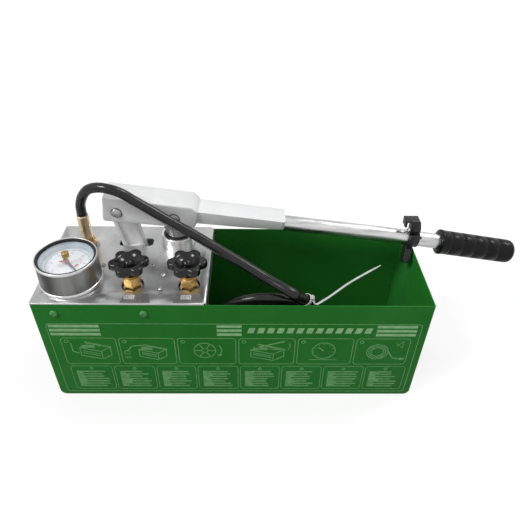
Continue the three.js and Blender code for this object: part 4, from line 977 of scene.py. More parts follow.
@dataclass
class Deck:
    """The bright deck over the pump end, folded down inside the tank."""

    left: float = -250
    right: float = -34
    half: float = 82
    inside: float = 80.2
    top: float = 178.7
    sheet: float = 2.4
    edge: float = 0.4
    bend: float = 3.2
    bend_steps: int = 6
    foot: float = 155
    tank_wall: float = 1.5
    relief: float = 4
    slot: tuple[Point2, Point2] = ((-164, 35.3), (-117.2, 52.7))
    slot_corner: float = 5.5
    holes: tuple[tuple[Point2, float], ...] = (
        ((-81.5, 44), 22.8),
        ((-204.5, 34), 14.0),
        ((-210.2, -35), 9.3),
        ((-130, -46.4), 13.9),
        ((-58.4, -46.4), 13.9),
    )
    seat: Point3 = (-204.5, 34, 0)
    seat_profile: Points = ((7, 176.8), (13.7, 176.8), (13.7, 178.2), (7, 178.2))
    seat_edge: float = 0.3

    def top_sheet(self) -> None:
        """Builds the top with its holes and its folded end."""
        fold = self.right - self.bend
        outline = [(fold, -self.half), (fold, -self.inside), (fold, self.inside), (fold, self.half)]
        outline += [(self.left, self.half), (self.left, -self.half)]
        loops = [outline, rounded(*self.slot, self.slot_corner)]
        loops += [circle(spot, radius, 64) for spot, radius in self.holes]
        shape = filled([[(x, y, self.top) for x, y in loop] for loop in loops])
        lip = []
        for edge in shape.edges:
            on_fold = all(abs(vert.co.x - fold) < TOUCH for vert in edge.verts)
            if on_fold and all(abs(vert.co.y) < self.inside + TOUCH for vert in edge.verts):
                lip.append(edge)
        swept = bmesh.ops.spin(
            shape,
            geom=lip,
            cent=(fold, 0, self.top - self.bend),
            axis=(0, 1, 0),
            angle=math.pi / 2,
            steps=self.bend_steps,
            use_merge=False,
        )["geom_last"]
        grown = bmesh.ops.extrude_edge_only(shape, edges=picked(swept, bmesh.types.BMEdge))["geom"]
        drop = self.top - self.bend - self.foot
        bmesh.ops.translate(shape, vec=(0, 0, -drop), verts=picked(grown, bmesh.types.BMVert))
        upturned(recalculated(shape))
        piece = settle(shape, "deck_sheet", DECK, Body.FRAME, ("deck_plate",))
        thickened(piece, self.sheet, self.edge)

    def flanges(self) -> None:
        """Builds the flanges that the screws hold to the tank's sides."""
        left = self.left + self.tank_wall + self.relief
        right = self.right - self.sheet - self.relief
        top = self.top - self.sheet
        inner = self.inside - self.sheet
        front = block((left, -self.inside, self.foot), (right, -inner, top))
        back = block((left, inner, self.foot), (right, self.inside, top))
        settle(eased(added(front, back), self.edge), "deck_side_flanges", DECK, Body.FRAME)

    def build(self) -> None:
        """Builds the deck and the seat under its outlet."""
        self.top_sheet()
        self.flanges()
        ring = eased(turned(self.seat_profile, 64, True), self.seat_edge)
        settle(ring, "outlet_seat_ring", CAST, Body.FRAME, place=at(*self.seat))


@dataclass
class DeckMarks:
    """Two small pale plates with plain turn marks, one before each valve, each on a dark grey trapezoid of
    painted shade and reflection from its wheel.
    """

    spots: tuple[tuple[Point2, float], ...] = (((-130.4, -70), 8.5), ((-60.2, -70), 2.8))
    half: Point2 = (6.6, 3.8)
    corner: float = 1.0
    # The dark trapezoid under each pale plate: painted shade and reflection of the valve's wheel.
    shade_outline: Points = ((-18.5, -10.2), (18.5, -10.2), (14.5, 6.5), (-14.5, 6.5))
    foot: float = 178.7
    rise: float = 0.12
    ink: float = 0.06
    bow: Point2 = (1.7, 2.6)
    bow_turns: Point2 = (20, 310)
    stroke_reach: float = 4.6
    stroke_half: Point2 = (0.5, 2)

    def build(self) -> None:
        """Builds the dark trapezoids of painted shade, the pale fields on them and the marks on the fields.
        """
        base = self.foot + self.rise
        top = base + self.rise
        wide, tall = self.half
        start, end = self.bow_turns
        shade_patches, fields, signs = [], [], []
        for (x, y), shade_shift in self.spots:
            spot = at(x + shade_shift, y, 0)
            shade_patches.append(moved(plate([self.shade_outline], self.foot, base), spot))
            outline = rounded((x - wide, y - tall), (x + wide, y + tall), self.corner, 3)
            fields.append(plate([outline], base, top))
            bow = arc((x, y), self.bow[1], start, end, 20) + arc((x, y), self.bow[0], end, start, 20)
            signs.append(plate([bow], top, top + self.ink))
            for side in (-1, 1):
                middle = x + side * self.stroke_reach
                low = (middle - self.stroke_half[0], y - self.stroke_half[1], top)
                high = (middle + self.stroke_half[0], y + self.stroke_half[1], top + self.ink)
                signs.append(block(low, high))
        settle(added(*shade_patches), "valve_painted_shade", KNOB_SHADE_PAINT, Body.FRAME)
        settle(added(*fields), "valve_mark_fields", MARK, Body.FRAME)
        settle(added(*signs), "valve_mark_signs", INK, Body.FRAME)


@dataclass(frozen=True)
class DomedScrew:
    """A low domed screw with a round socket, its head on the plane z = 0."""

    radius: float
    height: float
    shank: float
    length: float
    socket: float = 0.38
    socket_taper: float = 0.92
    socket_lip: float = 0.93
    socket_wall: float = 0.62
    socket_floor: float = 0.6
    steps: int = 10

    def shape(self) -> Shape:
        """The screw, turned from one profile.

        Returns:
            The closed shape.
        """
        socket = self.radius * self.socket
        profile = [(0, -self.length), (self.shank, -self.length), (self.shank, 0), (self.radius, 0)]
        for step in range(1, self.steps - 1):
            turn = math.pi / 2 * step / self.steps
            spot = (self.radius * math.cos(turn), self.height * math.sin(turn))
            if spot[0] > socket:
                profile.append(spot)
        profile.append((socket, self.height * self.socket_lip))
        profile.append((socket * self.socket_taper, self.height * self.socket_wall))
        profile.append((0, self.height * self.socket_floor))
        return turned(profile, 28)


@dataclass
class Screws:
    """The screws through the tank wall and on the deck."""

    wall_screw: DomedScrew = DomedScrew(5, 2.6, 2, 7.2)
    wall_xs: Point2 = (-223.3, -112.7)
    wall_z: float = 162
    wall_y: float = 82.3
    deck_screw: DomedScrew = DomedScrew(3.4, 1.7, 2, 12.4)
    deck_spots: Points = ((-94.2, -54), (-94.2, -28), (-175.6, -8.2), (-110.5, -8.2))
    deck_finishes: tuple[Finish, ...] = (ZINC, ZINC, DARK_STEEL, DARK_STEEL)
    deck_z: float = 179

    def build(self) -> None:
        """Builds the four painted wall screws and the four deck screws."""
        for side, sign in (("front", -1), ("back", 1)):
            for index, x in enumerate(self.wall_xs):
                name = f"flange_screw_{side}_{index + 1}"
                place = at(x, sign * self.wall_y, self.wall_z) @ about("X", -sign * math.pi / 2)
                shape = self.wall_screw.shape()
                settle(shape, f"{name}_head", SCREW_GREEN_PAINTED_LIGHT, Body.FRAME, (name,), place)
        for index, ((x, y), finish) in enumerate(zip(self.deck_spots, self.deck_finishes)):
            name = f"deck_screw_{index + 1}"
            place = at(x, y, self.deck_z)
            settle(self.deck_screw.shape(), f"{name}_head", finish, Body.FRAME, (name,), place)


@dataclass
class FrontPrint:
    """A light print on the front: stripes, six pictograms and eight blocks of plain lines."""

    face: float = -82.0
    depth: float = 0.14
    depth_step: float = 0.005
    depth_steps: int = 9
    corner: float = 5
    border: tuple[Point2, Point2] = ((-239, 7), (241, 144.5))
    stripes: Points = ((-236, -172), (-23, 9), (183, 235))
    stripe_top: float = 139.5
    stripe_step: float = 7.4
    stripe_width: float = 4.6
    title: Points = ((16, 127.5), (24.2, 127.5), (26.6, 137), (18.4, 137))
    title_count: int = 13
    title_step: float = 12.6
    frame_width: float = 1.1
    pictures: tuple[float, ...] = (-228, -153, -77, 3, 81, 158, 233)
    picture_rows: Point2 = (66.5, 118)
    picture_gap: float = 1.5
    notes: tuple[float, ...] = (-226, -167, -109, -53, 5, 62, 120, 178, 236)
    note_rows: Point2 = (12.5, 62.5)
    note_gap: float = 1.2
    note_top: float = 50.5
    note_step: float = 5.1
    note_lines: int = 7
    note_margin: float = 8
    note_ragged: Point2 = (13, 8)
    note_short: float = 15
    note_widths: Point2 = (2.5, 2.6)
    note_drop: float = 2.5
    note_ring: Point3 = (57, 2.6, 1.4)
    note_frame: float = 0.9
    marks: list = field(default_factory=list)

    def bar(self, start: Point2, end: Point2, width: float) -> None:
        """Prints a straight line, its height a little off its neighbours'.

        Args:
            start: one end, in X and Z.
            end: the other end.
            width: the line's width.
        """
        along = Vector(end) - Vector(start)
        half = along.length / 2
        depth = self.depth + self.depth_step * (len(self.marks) % self.depth_steps)
        shape = block((-half, -depth, -width / 2), (half, 0, width / 2))
        middle = (Vector(start) + Vector(end)) / 2
        turn = about("Y", -math.atan2(along.y, along.x))
        self.marks.append(moved(shape, at(middle.x, self.face, middle.y) @ turn))

    def path(self, points: Sequence[Point2], width: float = 1.0) -> None:
        """Prints a row of joined lines."""
        for start, end in zip(points, points[1:]):
            self.bar(start, end, width)

    def rays(self, centre: Point2, reach: Point2, degrees: Iterable[float], width: float) -> None:
        """Prints short lines that point away from a centre.

        Args:
            centre: the centre, in X and Z.
            reach: the distance of the lines' near and far ends.
            degrees: the lines' directions.
            width: their width.
        """
        for turn in map(math.radians, degrees):
            way = Vector((math.cos(turn), math.sin(turn)))
            self.bar(Vector(centre) + way * reach[0], Vector(centre) + way * reach[1], width)

    def upright(self, shape: Shape, x: float = 0, z: float = 0) -> None:
        """Stands a flat mark up on the front."""
        self.marks.append(moved(shape, at(x, self.face, z) @ UPRIGHT))

    def ring(self, centre: Point2, radius: float, width: float = 1.0) -> None:
        """Prints a circle.

        Args:
            centre: its centre, in X and Z.
            radius: its outer radius.
            width: the line's width.
        """
        depth = self.depth + self.depth_step * self.depth_steps
        profile = [(radius - width, 0), (radius, 0), (radius, depth), (radius - width, depth)]
        self.upright(turned(profile, 28, True), *centre)

    def cell(self, low: Point2, high: Point2, width: float) -> None:
        """Prints a frame with round corners.

        Args:
            low: its lower left corner, in X and Z.
            high: its upper right corner.
            width: the line's width.
        """
        inner_low = (low[0] + width, low[1] + width)
        inner_high = (high[0] - width, high[1] - width)
        loops = [rounded(low, high, self.corner, 4), rounded(inner_low, inner_high, self.corner - width, 4)]
        self.upright(plate(loops, 0, self.depth))

    def trough(self, x: float, z: float, wide: float = 40, tall: float = 15) -> None:
        """Prints a small tank with a deck and a lever, drawn slantwise.

        Args:
            x: its left end.
            z: the foot of its left end.
            wide: its width.
            tall: its height.
        """
        line = 1.3
        rise = wide * 0.2
        top = z + tall
        near_x, near_z = x + wide * 0.68, z - rise * 0.9
        far_x, far_z = x + wide, z + rise * 0.1
        self.path([(x, z), (near_x, near_z), (near_x, near_z + tall), (x, top), (x, z)], line)
        self.bar((x + 3, top + rise * 0.35), (x + wide * 0.5, top + rise * 0.3), 5.0)
        self.bar((x + wide * 0.2, top + rise + 3), (x + wide * 1.05, top + 1), 1.9)
        corners = [(x, top), (x + wide * 0.32, top + rise), (far_x, far_z + tall), (near_x, near_z + tall)]
        self.path(corners, line)
        self.path([(far_x, far_z + tall), (far_x, far_z), (near_x, near_z)], line)
        for share in (0.35, 0.6):
            self.bar((x + 3, z + tall * share), (x + wide * 0.62, z - rise * 0.75 + tall * share), 1.2)

    def filling(self, x: float) -> None:
        """Pictures a tank under falling water.

        Args:
            x: the drawing's left side.
        """
        self.trough(x + 14, 84)
        self.path([(x + 4, 108), (x + 4, 92), (x + 12, 88)], 1.6)
        for drop in range(3):
            self.bar((x + 24 + drop * 8, 108 - drop), (x + 24 + drop * 8, 103 - drop), 1.2)

    def joining(self, x: float) -> None:
        """Pictures a tank with its hose on a pipe's end.

        Args:
            x: the drawing's left side.
        """
        self.trough(x + 16, 82, 36, 13)
        self.path([(x, 92), (x + 8, 102), (x + 20, 104), (x + 30, 98)], 1.6)
        self.ring((x, 90), 4, 1)
        self.bar((x - 4, 80), (x + 4, 80), 1.6)

    def closing(self, x: float) -> None:
        """Pictures a hand wheel and an arrow round it.

        Args:
            x: the drawing's left side.
        """
        hub = (x + 27, 94)
        self.ring(hub, 15, 1.4)
        self.ring(hub, 4.5, 1)
        self.rays(hub, (4, 14), range(0, 360, 60), 1.4)
        self.path([(x + 46, 104), (x + 50, 94), (x + 46, 84)], 1.4)
        self.path([(x + 43, 87), (x + 46, 83), (x + 50, 87)], 1.2)

    def pumping(self, x: float) -> None:
        """Pictures a tank with its lever up and down.

        Args:
            x: the drawing's left side.
        """
        pivot = (x + 14, 99)
        self.trough(x + 8, 82, 44, 13)
        self.path([pivot, (x + 52, 112)], 2.4)
        self.path([pivot, (x + 56, 95)], 1.0)
        self.path([(x + 58, 110), (x + 60, 103), (x + 58, 96)], 1.2)

    def reading(self, x: float) -> None:
        """Pictures a gauge.

        Args:
            x: the drawing's left side.
        """
        hub = (x + 27, 94)
        self.ring(hub, 16, 1.4)
        self.rays(hub, (11.5, 14), [225 - tick * 33.75 for tick in range(9)], 0.9)
        self.bar(hub, (x + 19, 101), 1.6)
        self.path([(x + 8, 76), (x + 46, 76)], 1.2)

    def storing(self, x: float) -> None:
        """Pictures a coiled hose.

        Args:
            x: the drawing's left side.
        """
        for radius in (15, 12, 9):
            self.ring((x + 22, 92), radius, 1.5)
        self.path([(x + 37, 92), (x + 44, 80), (x + 54, 78)], 1.8)
        self.bar((x + 54, 78), (x + 60, 78), 4)
        self.path([(x + 46, 108), (x + 54, 100), (x + 54, 112), (x + 46, 104)], 1.0)

    def note(self, left: float, right: float, chance: random.Random) -> None:
        """Prints a block of plain ragged lines in its frame.

        Args:
            left: the block's left side.
            right: its right side.
            chance: gives the lines' lengths.
        """
        foot, top = self.note_rows
        self.cell((left + self.note_gap, foot), (right - self.note_gap, top), self.note_frame)
        ring_z, ring_radius, ring_width = self.note_ring
        self.ring(((left + right) / 2, ring_z), ring_radius, ring_width)
        start = left + self.note_margin
        long_ragged, short_ragged = self.note_ragged
        long_width, short_width = self.note_widths
        for row in range(self.note_lines):
            height = self.note_top - row * self.note_step
            end = right - self.note_margin - chance.random() * long_ragged
            self.bar((start, height), (end, height), long_width)
            if row < self.note_lines - 1:
                height -= self.note_drop
                end = left + self.note_short + chance.random() * short_ragged
                self.bar((start, height), (end, height), short_width)

    def build(self) -> None:
        """Builds the stripes as one piece and the finer print as another."""
        for left, right in self.stripes:
            for row in range(3):
                height = self.stripe_top - row * self.stripe_step
                self.bar((left, height), (right, height), self.stripe_width)
        for step in range(self.title_count):
            self.upright(plate([self.title], 0, self.depth), self.title_step * step)
        settle(added(*self.marks), "front_stripes", PRINT, Body.FRAME)
        self.marks.clear()
        self.cell(*self.border, self.frame_width)
        foot, top = self.picture_rows
        draws = (self.filling, self.joining, self.closing, self.pumping, self.reading, self.storing)
        for draw, left, right in zip(draws, self.pictures, self.pictures[1:]):
            self.cell((left + self.picture_gap, foot), (right - self.picture_gap, top), self.frame_width)
            self.ring((left + 9, 111), 3.0, 1.2)
            draw(left + 10)
        chance = random.Random(7)
        for left, right in zip(self.notes, self.notes[1:]):
            self.note(left, right, chance)
        settle(added(*self.marks), "front_print", FINE_PRINT, Body.FRAME)


@dataclass
class Barrel:
    """The pump barrel in the deck, its wiper ring, and the plunger with its eye."""

    spot: Point3 = (-81.5, 44, 0)
    radius: float = 22.5
    foot: float = 100
    top: float = 196.5
    bore: float = 15.8
    collar: float = 27
    collar_rows: Point2 = (139.7, 145.7)
    seat: float = 18.7
    seat_depth: float = 8
    barrel_ease: float = 1.2
    wiper_lip: Points = ((18.4, 188.8), (18.4, 196.2), (17.9, 197.4), (16.9, 198.2))
    wiper_rows: Point2 = (188.8, 197.6)
    plunger: float = 15.5
    plunger_foot: float = 110
    groove: float = 13.3
    groove_rows: Point2 = (116, 120)
    shoulder: float = 216
    shoulder_drop: float = 2
    pin_height: float = 232
    eye_half: float = 13
    eye_gap: float = 0.3
    eye_root: float = 6

    def sleeve(self) -> None:
        """Builds the barrel with its collar."""
        low, high = self.collar_rows
        profile = [(self.bore, self.foot), (self.radius, self.foot), (self.radius, low), (self.collar, low)]
        profile += [(self.collar, high), (self.radius, high), (self.radius, self.top), (self.seat, self.top)]
        profile += [(self.seat, self.top - self.seat_depth), (self.bore, self.top - self.seat_depth)]
        shape = eased(turned(profile, 72, True), self.barrel_ease, 3)
        settle(shape, "barrel_sleeve", BARREL, Body.FRAME, ("barrel",), at(*self.spot))

    def wiper(self) -> None:
        """Builds the wiper ring in the barrel's mouth."""
        low, high = self.wiper_rows
        shape = eased(turned([(self.bore, low), *self.wiper_lip, (self.bore, high)], 72, True), 0.35)
        settle(shape, "wiper_lip", SEAL, Body.FRAME, ("wiper_ring",), at(*self.spot))

    def rod(self) -> None:
        """Builds the plunger with its seal groove and its eye."""
        low, high = self.groove_rows
        profile = [(0, self.plunger_foot), (self.plunger, self.plunger_foot), (self.plunger, low)]
        profile += [(self.groove, low), (self.groove, high), (self.plunger, high)]
        profile.append((self.plunger, self.shoulder - self.shoulder_drop))
        profile += [(self.eye_half, self.shoulder), (0, self.shoulder)]
        shaft = eased(turned(profile, 72), 0.8)
        reach = self.plunger - self.eye_gap
        foot = self.shoulder - self.eye_root
        outline = [(reach, foot), *arc((0, self.pin_height), reach, 0, 180, 24), (-reach, foot)]
        eye = eased(moved(plate([outline], -self.eye_half, self.eye_half), UPRIGHT), 1.4, 3)
        name = "plunger_rod_steel"
        place = at(*self.spot)
        settle(added(shaft, eye), name, DARK_STEEL, Body.PLUNGER, ("plunger",), place)

    def build(self) -> None:
        """Builds barrel, wiper and plunger."""
        self.sleeve()
        self.wiper()
        self.rod()


@dataclass
class Lever:
    """The pressed lever head, its arm, the handle tube, the pins and the rubber grip."""

    origin: Point3 = (-81.5, 44, 232)
    slope: float = 0.13075759
    half: float = 20.8
    sheet: float = 2.5
    left: float = -92
    right: float = 30.3
    top: float = 20.5
    bend_start: float = 22
    lip: float = 13.5
    head_foot: Points = ((-91.1, -14.1), (-89, -15), (25.3, -11.4), (28.7, -8.6), (29.9, -4.6), (30.3, 0))
    head_back: float = -12
    head_ease: float = 2.4
    link_pin: Point2 = (-74.5, -1)
    pin_hole: float = 7.7
    pin_half: Points = ((6, 19.0), (6.6, 19.6), (6.6, 21.8), (6.2, 22.5), (5.2, 22.9), (0, 22.9))
    # A thin near-black ring behind each cheek hole: painted shade in the gap round the pin.
    gap_shade_ring: Points = ((6.7, 18.0), (9.6, 18.0), (9.6, 18.4), (6.7, 18.4))
    arm_half: float = 18
    arm_corner: float = 4.5
    arm_crease: float = 5
    arm_fall: float = 0.13
    arm_top: float = 13.2
    arm_depth: float = 7
    arm_draft: float = 0.87
    arm_sheet: float = 1.4
    arm_ease: float = 2.6
    arm_foot: Points = ((17.5, -6.5), (94, -3.6), (147.5, 0.4))
    tube: float = 10.5
    tube_wall: float = 2
    tube_start: float = 45
    tube_lift: float = 1
    tube_sides: int = 48
    bend_at: float = 314.854
    bend_turn: float = 0.02844887
    bend_half: float = 8
    grip_start: float = 56
    grip_end: float = 166.6
    grip_bore: float = 10.8
    grip_wall: float = 5
    grip_lip: Points = ((16.8, 0), (17.6, 0.7), (17.7, 2.8), (17.5, 4.2), (17.1, 6.0), (17.0, 9))
    grip_radii: Point2 = (17.0, 16.6)
    grip_round: float = 8
    grooves: int = 5
    groove_step: float = 18
    groove: Points = ((0, -1.1), (0.5, -0.6), (0.6, 0), (0.5, 0.6), (0, 1.1))

    def place(self) -> Matrix:
        """The lever's own frame in the pump's."""
        return at(*self.origin) @ about("Y", self.slope)

    def bent(self) -> Matrix:
        """The frame of the tube beyond its slight bend."""
        return self.place() @ at(self.bend_at, 0, self.tube_lift) @ about("Y", self.bend_turn)

    def pressed(
        self, shape: Shape, name: str, node: str, ease: float, sheet: float, edge: float
    ) -> None:
        """Settles an open folded shell as painted sheet steel.

        Args:
            shape: the shell.
            name: the piece's name.
            node: the CAD node that it replaces.
            ease: the width of its folds' round.
            sheet: its thickness.
            edge: the width of its rims' round.
        """
        upturned(eased(shape, ease, 4, 50))
        piece = settle(shape, name, LEVER_PAINT, Body.LEVER, (node,), self.place(), 40)
        thickened(piece, sheet, edge)

    def head(self) -> None:
        """Builds the pressed head as one folded sheet."""
        outline = [*self.head_foot, (self.right, self.lip), (self.bend_start, self.top)]
        outline += [(self.left, self.top), (self.left, self.head_back)]
        pins = ((0, 0), self.link_pin)
        loops = [outline] + [circle(pin, self.pin_hole, 40) for pin in pins]
        side = filled([[(x, -self.half, z) for x, z in loop] for loop in loops])
        shape = raised(side, (0, 2 * self.half, 0))
        gone = []
        for face in shape.faces:
            middle = face.calc_center_median().xz
            at_hole = min((middle - Vector(pin)).length for pin in pins) < self.pin_hole + 0.5
            if min(face.normal.z, face.normal.x) < -0.5 or (abs(face.normal.y) < 0.5 and at_hole):
                gone.append(face)
        bmesh.ops.delete(shape, geom=gone, context="FACES")
        self.pressed(shape, "lever_head_pressing", "lever_head", self.head_ease, self.sheet, 0.5)

    def arm(self) -> None:
        """Builds the folded arm over the tube, its end round in plan."""
        corner = self.arm_corner
        left, right = self.arm_foot[0][0], self.arm_foot[-1][0]
        plan = [(left, -self.arm_half)]
        plan += arc((right - corner, corner - self.arm_half), corner, -90, 0, 10)
        plan += arc((right - corner, self.arm_half - corner), corner, 0, 90, 10)
        plan.append((left, self.arm_half))
        shape = plate([plan], -self.arm_depth, self.arm_top)
        gone = [face for face in shape.faces if min(face.normal.z, face.normal.x) < -FACING]
        bmesh.ops.delete(shape, geom=gone, context="FACES")
        whole = shape.verts[:] + shape.edges[:] + shape.faces[:]
        bmesh.ops.bisect_plane(shape, geom=whole, plane_co=(0, self.arm_crease, 0), plane_no=(0, 1, 0))
        for vert in shape.verts:
            if vert.co.z > 0 and vert.co.y > self.arm_crease:
                vert.co.z -= (vert.co.y - self.arm_crease) * self.arm_fall
            if vert.co.z < 0:
                vert.co.y *= self.arm_draft
        for near, far in zip(self.arm_foot, self.arm_foot[1:]):
            bmesh.ops.bisect_plane(
                shape,
                geom=shape.verts[:] + shape.edges[:] + shape.faces[:],
                plane_co=(near[0], 0, near[1]),
                plane_no=(near[1] - far[1], 0, far[0] - near[0]),
                clear_inner=True,
            )
        self.pressed(shape, "lever_arm_pressing", "arm_channel", self.arm_ease, self.arm_sheet, 0.3)

    def handle(self) -> None:
        """Builds the tube from the arm into the grip."""
        inner, outer = self.place(), self.bent()
        stations = (
            (inner, (self.tube_start, 0, self.tube_lift)),
            (inner, (self.bend_at - self.bend_half, 0, self.tube_lift)),
            (outer, (self.bend_half, 0, 0)),
            (outer, (self.grip_end - self.grip_wall - 0.3, 0, 0)),
        )
        ring = hoop([self.tube] * self.tube_sides, 0)
        rings = []
        for lay, spot in stations:
            rings.append([lay @ (Vector(spot) + Vector((0, point.x, point.y))) for point in ring])
        name = "handle_tube_zinc"
        piece = settle(lofted(rings, False), name, TUBE, Body.LEVER, ("handle_tube",))
        thickened(piece, self.tube_wall, 0.4)

    def pins(self) -> None:
        """Builds the two cross pins and, behind each cheek hole, a near-black ring: painted shade in the gap
        round the pin.
        """
        profile = [(radius, -height) for radius, height in self.pin_half[::-1]] + [*self.pin_half]
        for name, (x, z) in (("plunger_pin", (0, 0)), ("link_top_pin", self.link_pin)):
            lay = self.place() @ at(x, 0, z) @ about("X", -math.pi / 2)
            pin = eased(turned(profile, 48), 0.3)
            settle(pin, f"{name}_turned", PIN, Body.LEVER, (name,), lay)
            for side, over in (("front", math.pi), ("back", 0)):
                gap_shade_ring = turned(self.gap_shade_ring, 48, True)
                where = lay @ about("X", over)
                settle(gap_shade_ring, f"{name}_bush_{side}", PIN_GAP_SHADE, Body.LEVER, (), where)

    def grip(self) -> None:
        """Builds the moulded rubber grip with its lip and grooves."""
        start, end, bore = self.grip_start, self.grip_end, self.grip_bore
        wide, narrow = self.grip_radii
        profile = [(bore, start)] + [(radius, start + along) for radius, along in self.grip_lip]
        for index in range(self.grooves):
            middle = start + 3 + self.groove_step * (index + 0.6)
            radius = wide + (narrow - wide) * (middle - start) / (end - start)
            profile += [(radius - depth, middle + along) for depth, along in self.groove]
        profile += arc((narrow - self.grip_round, end - self.grip_round), self.grip_round, 0, 90, 9)
        profile += [(0, end), (0, end - self.grip_wall), (bore, end - self.grip_wall)]
        lay = self.bent() @ about("Y", math.pi / 2)
        grip = turned(profile, 56, True)
        settle(grip, "grip_moulding", RUBBER, Body.LEVER, ("grip",), lay, 50)

    def build(self) -> None:
        """Builds the whole lever."""
        self.head()
        self.arm()
        self.handle()
        self.pins()
        self.grip()


@dataclass
class TransportClip:
    """The plastic clip that turns on the tube and hooks inside the rim."""

    lever: Lever
    along: float = 19.5
    bore: float = 10.8
    sleeve: float = 12.6
    left: float = -10.5
    right: float = 4.5
    leg_turn: float = math.radians(36)
    leg_front: Points = ((-2.4, -9), (-2.6, -18), (-2.6, -24))
    leg_toe: Point3 = (-7.5, -31.5, 4.9)
    leg_back: Points = ((-12.4, -16.3), (-10.5, -9))
    leg_half: float = 6
    shield: Points = ((-11.5, -13), (-3, -13), (-2.6, 5), (4.5, 9), (4.5, 12), (-10.5, 12))
    shield_rows: Point2 = (11.4, 14.6)
    stem: Points = ((-10, 9), (4.5, 9), (4.5, 20), (2, 32), (-10, 32))
    stem_rows: Point2 = (-4, 8.5)
    tab: Points = ((-19, 23.5), (-16, 23.5), (-16, 31), (0.8, 31), (0.8, 34), (-19, 34))
    tab_rows: Point2 = (-6, 8.5)
    screw: DomedScrew = DomedScrew(3.3, 2.6, 1.4, 4)
    screw_spot: Point3 = (-10.1, -4, 17)

    def build(self) -> None:
        """Builds the moulded clip, upright from its sleeve, and its screw."""
        place = self.lever.bent() @ at(self.along, 0, 0)
        upright = about("Y", -self.lever.slope - self.lever.bend_turn)
        near, far = self.bore, self.sleeve
        profile = [(near, self.left), (far, self.left), (far, self.right), (near, self.right)]
        sleeve = moved(eased(turned(profile, 48, True), 0.7), about("Y", math.pi / 2))
        toe_x, toe_z, toe = self.leg_toe
        outline = [*self.leg_front, *arc((toe_x, toe_z), toe, 0, -180, 12), *self.leg_back]
        leg = plate([outline[::-1]], -self.leg_half, self.leg_half)
        leg = moved(leg, about("X", -self.leg_turn) @ UPRIGHT)
        shield = moved(plate([self.shield], *self.shield_rows), UPRIGHT)
        stem = moved(plate([self.stem], *self.stem_rows), upright @ UPRIGHT)
        tab = moved(plate([self.tab], *self.tab_rows), upright @ UPRIGHT)
        whole = added(sleeve, eased(leg, 1.2, 3), eased(shield, 1.0, 3), eased(stem, 0.8), eased(tab, 0.7))
        settle(whole, "clip_moulding", PLASTIC, Body.CLIP, ("transport_clip",), place, 40)
        lay = place @ upright @ at(*self.screw_spot) @ about("Y", -math.pi / 2)
        settle(self.screw.shape(), "clip_screw_head", ZINC, Body.CLIP, ("clip_screw",), lay)


@dataclass
class Link:
    """The cast link between lever and pump body, recessed on both faces."""

    top: Point3 = (-155.494, 44, 240.722)
    lean: float = -0.192159
    length: float = 84.27
    half: float = 15
    thickness: float = 15
    top_hole: float = 6.3
    low_hole: float = 10.2
    pocket_half: float = 9.4
    pocket_rows: Point2 = (20, 16)
    pocket_corner: float = 4
    pocket_depth: float = 3.2

    def build(self) -> None:
        """Builds the link with its two eyes."""
        foot = (0, -self.length)
        outline = arc((0, 0), self.half, 0, 180, 24) + arc(foot, self.half, 180, 360, 24)
        holes = [circle((0, 0), self.top_hole), circle(foot, self.low_hole)]
        low, high = self.pocket_rows[0] - self.length, -self.pocket_rows[1]
        pocket = rounded((-self.pocket_half, low), (self.pocket_half, high), self.pocket_corner)
        face = self.thickness / 2
        core = face - self.pocket_depth
        web = plate([outline, *holes], -core, core)
        rows = ((-face, -core), (core, face))
        frames = [eased(plate([outline, pocket, *holes], low, high), 1.0) for low, high in rows]
        whole = moved(added(web, *frames), UPRIGHT)
        place = at(*self.top) @ about("Y", self.lean)
        settle(whole, "link_casting", LINK_CAST_PAINTED_LIGHT, Body.LINK, ("link",), place)


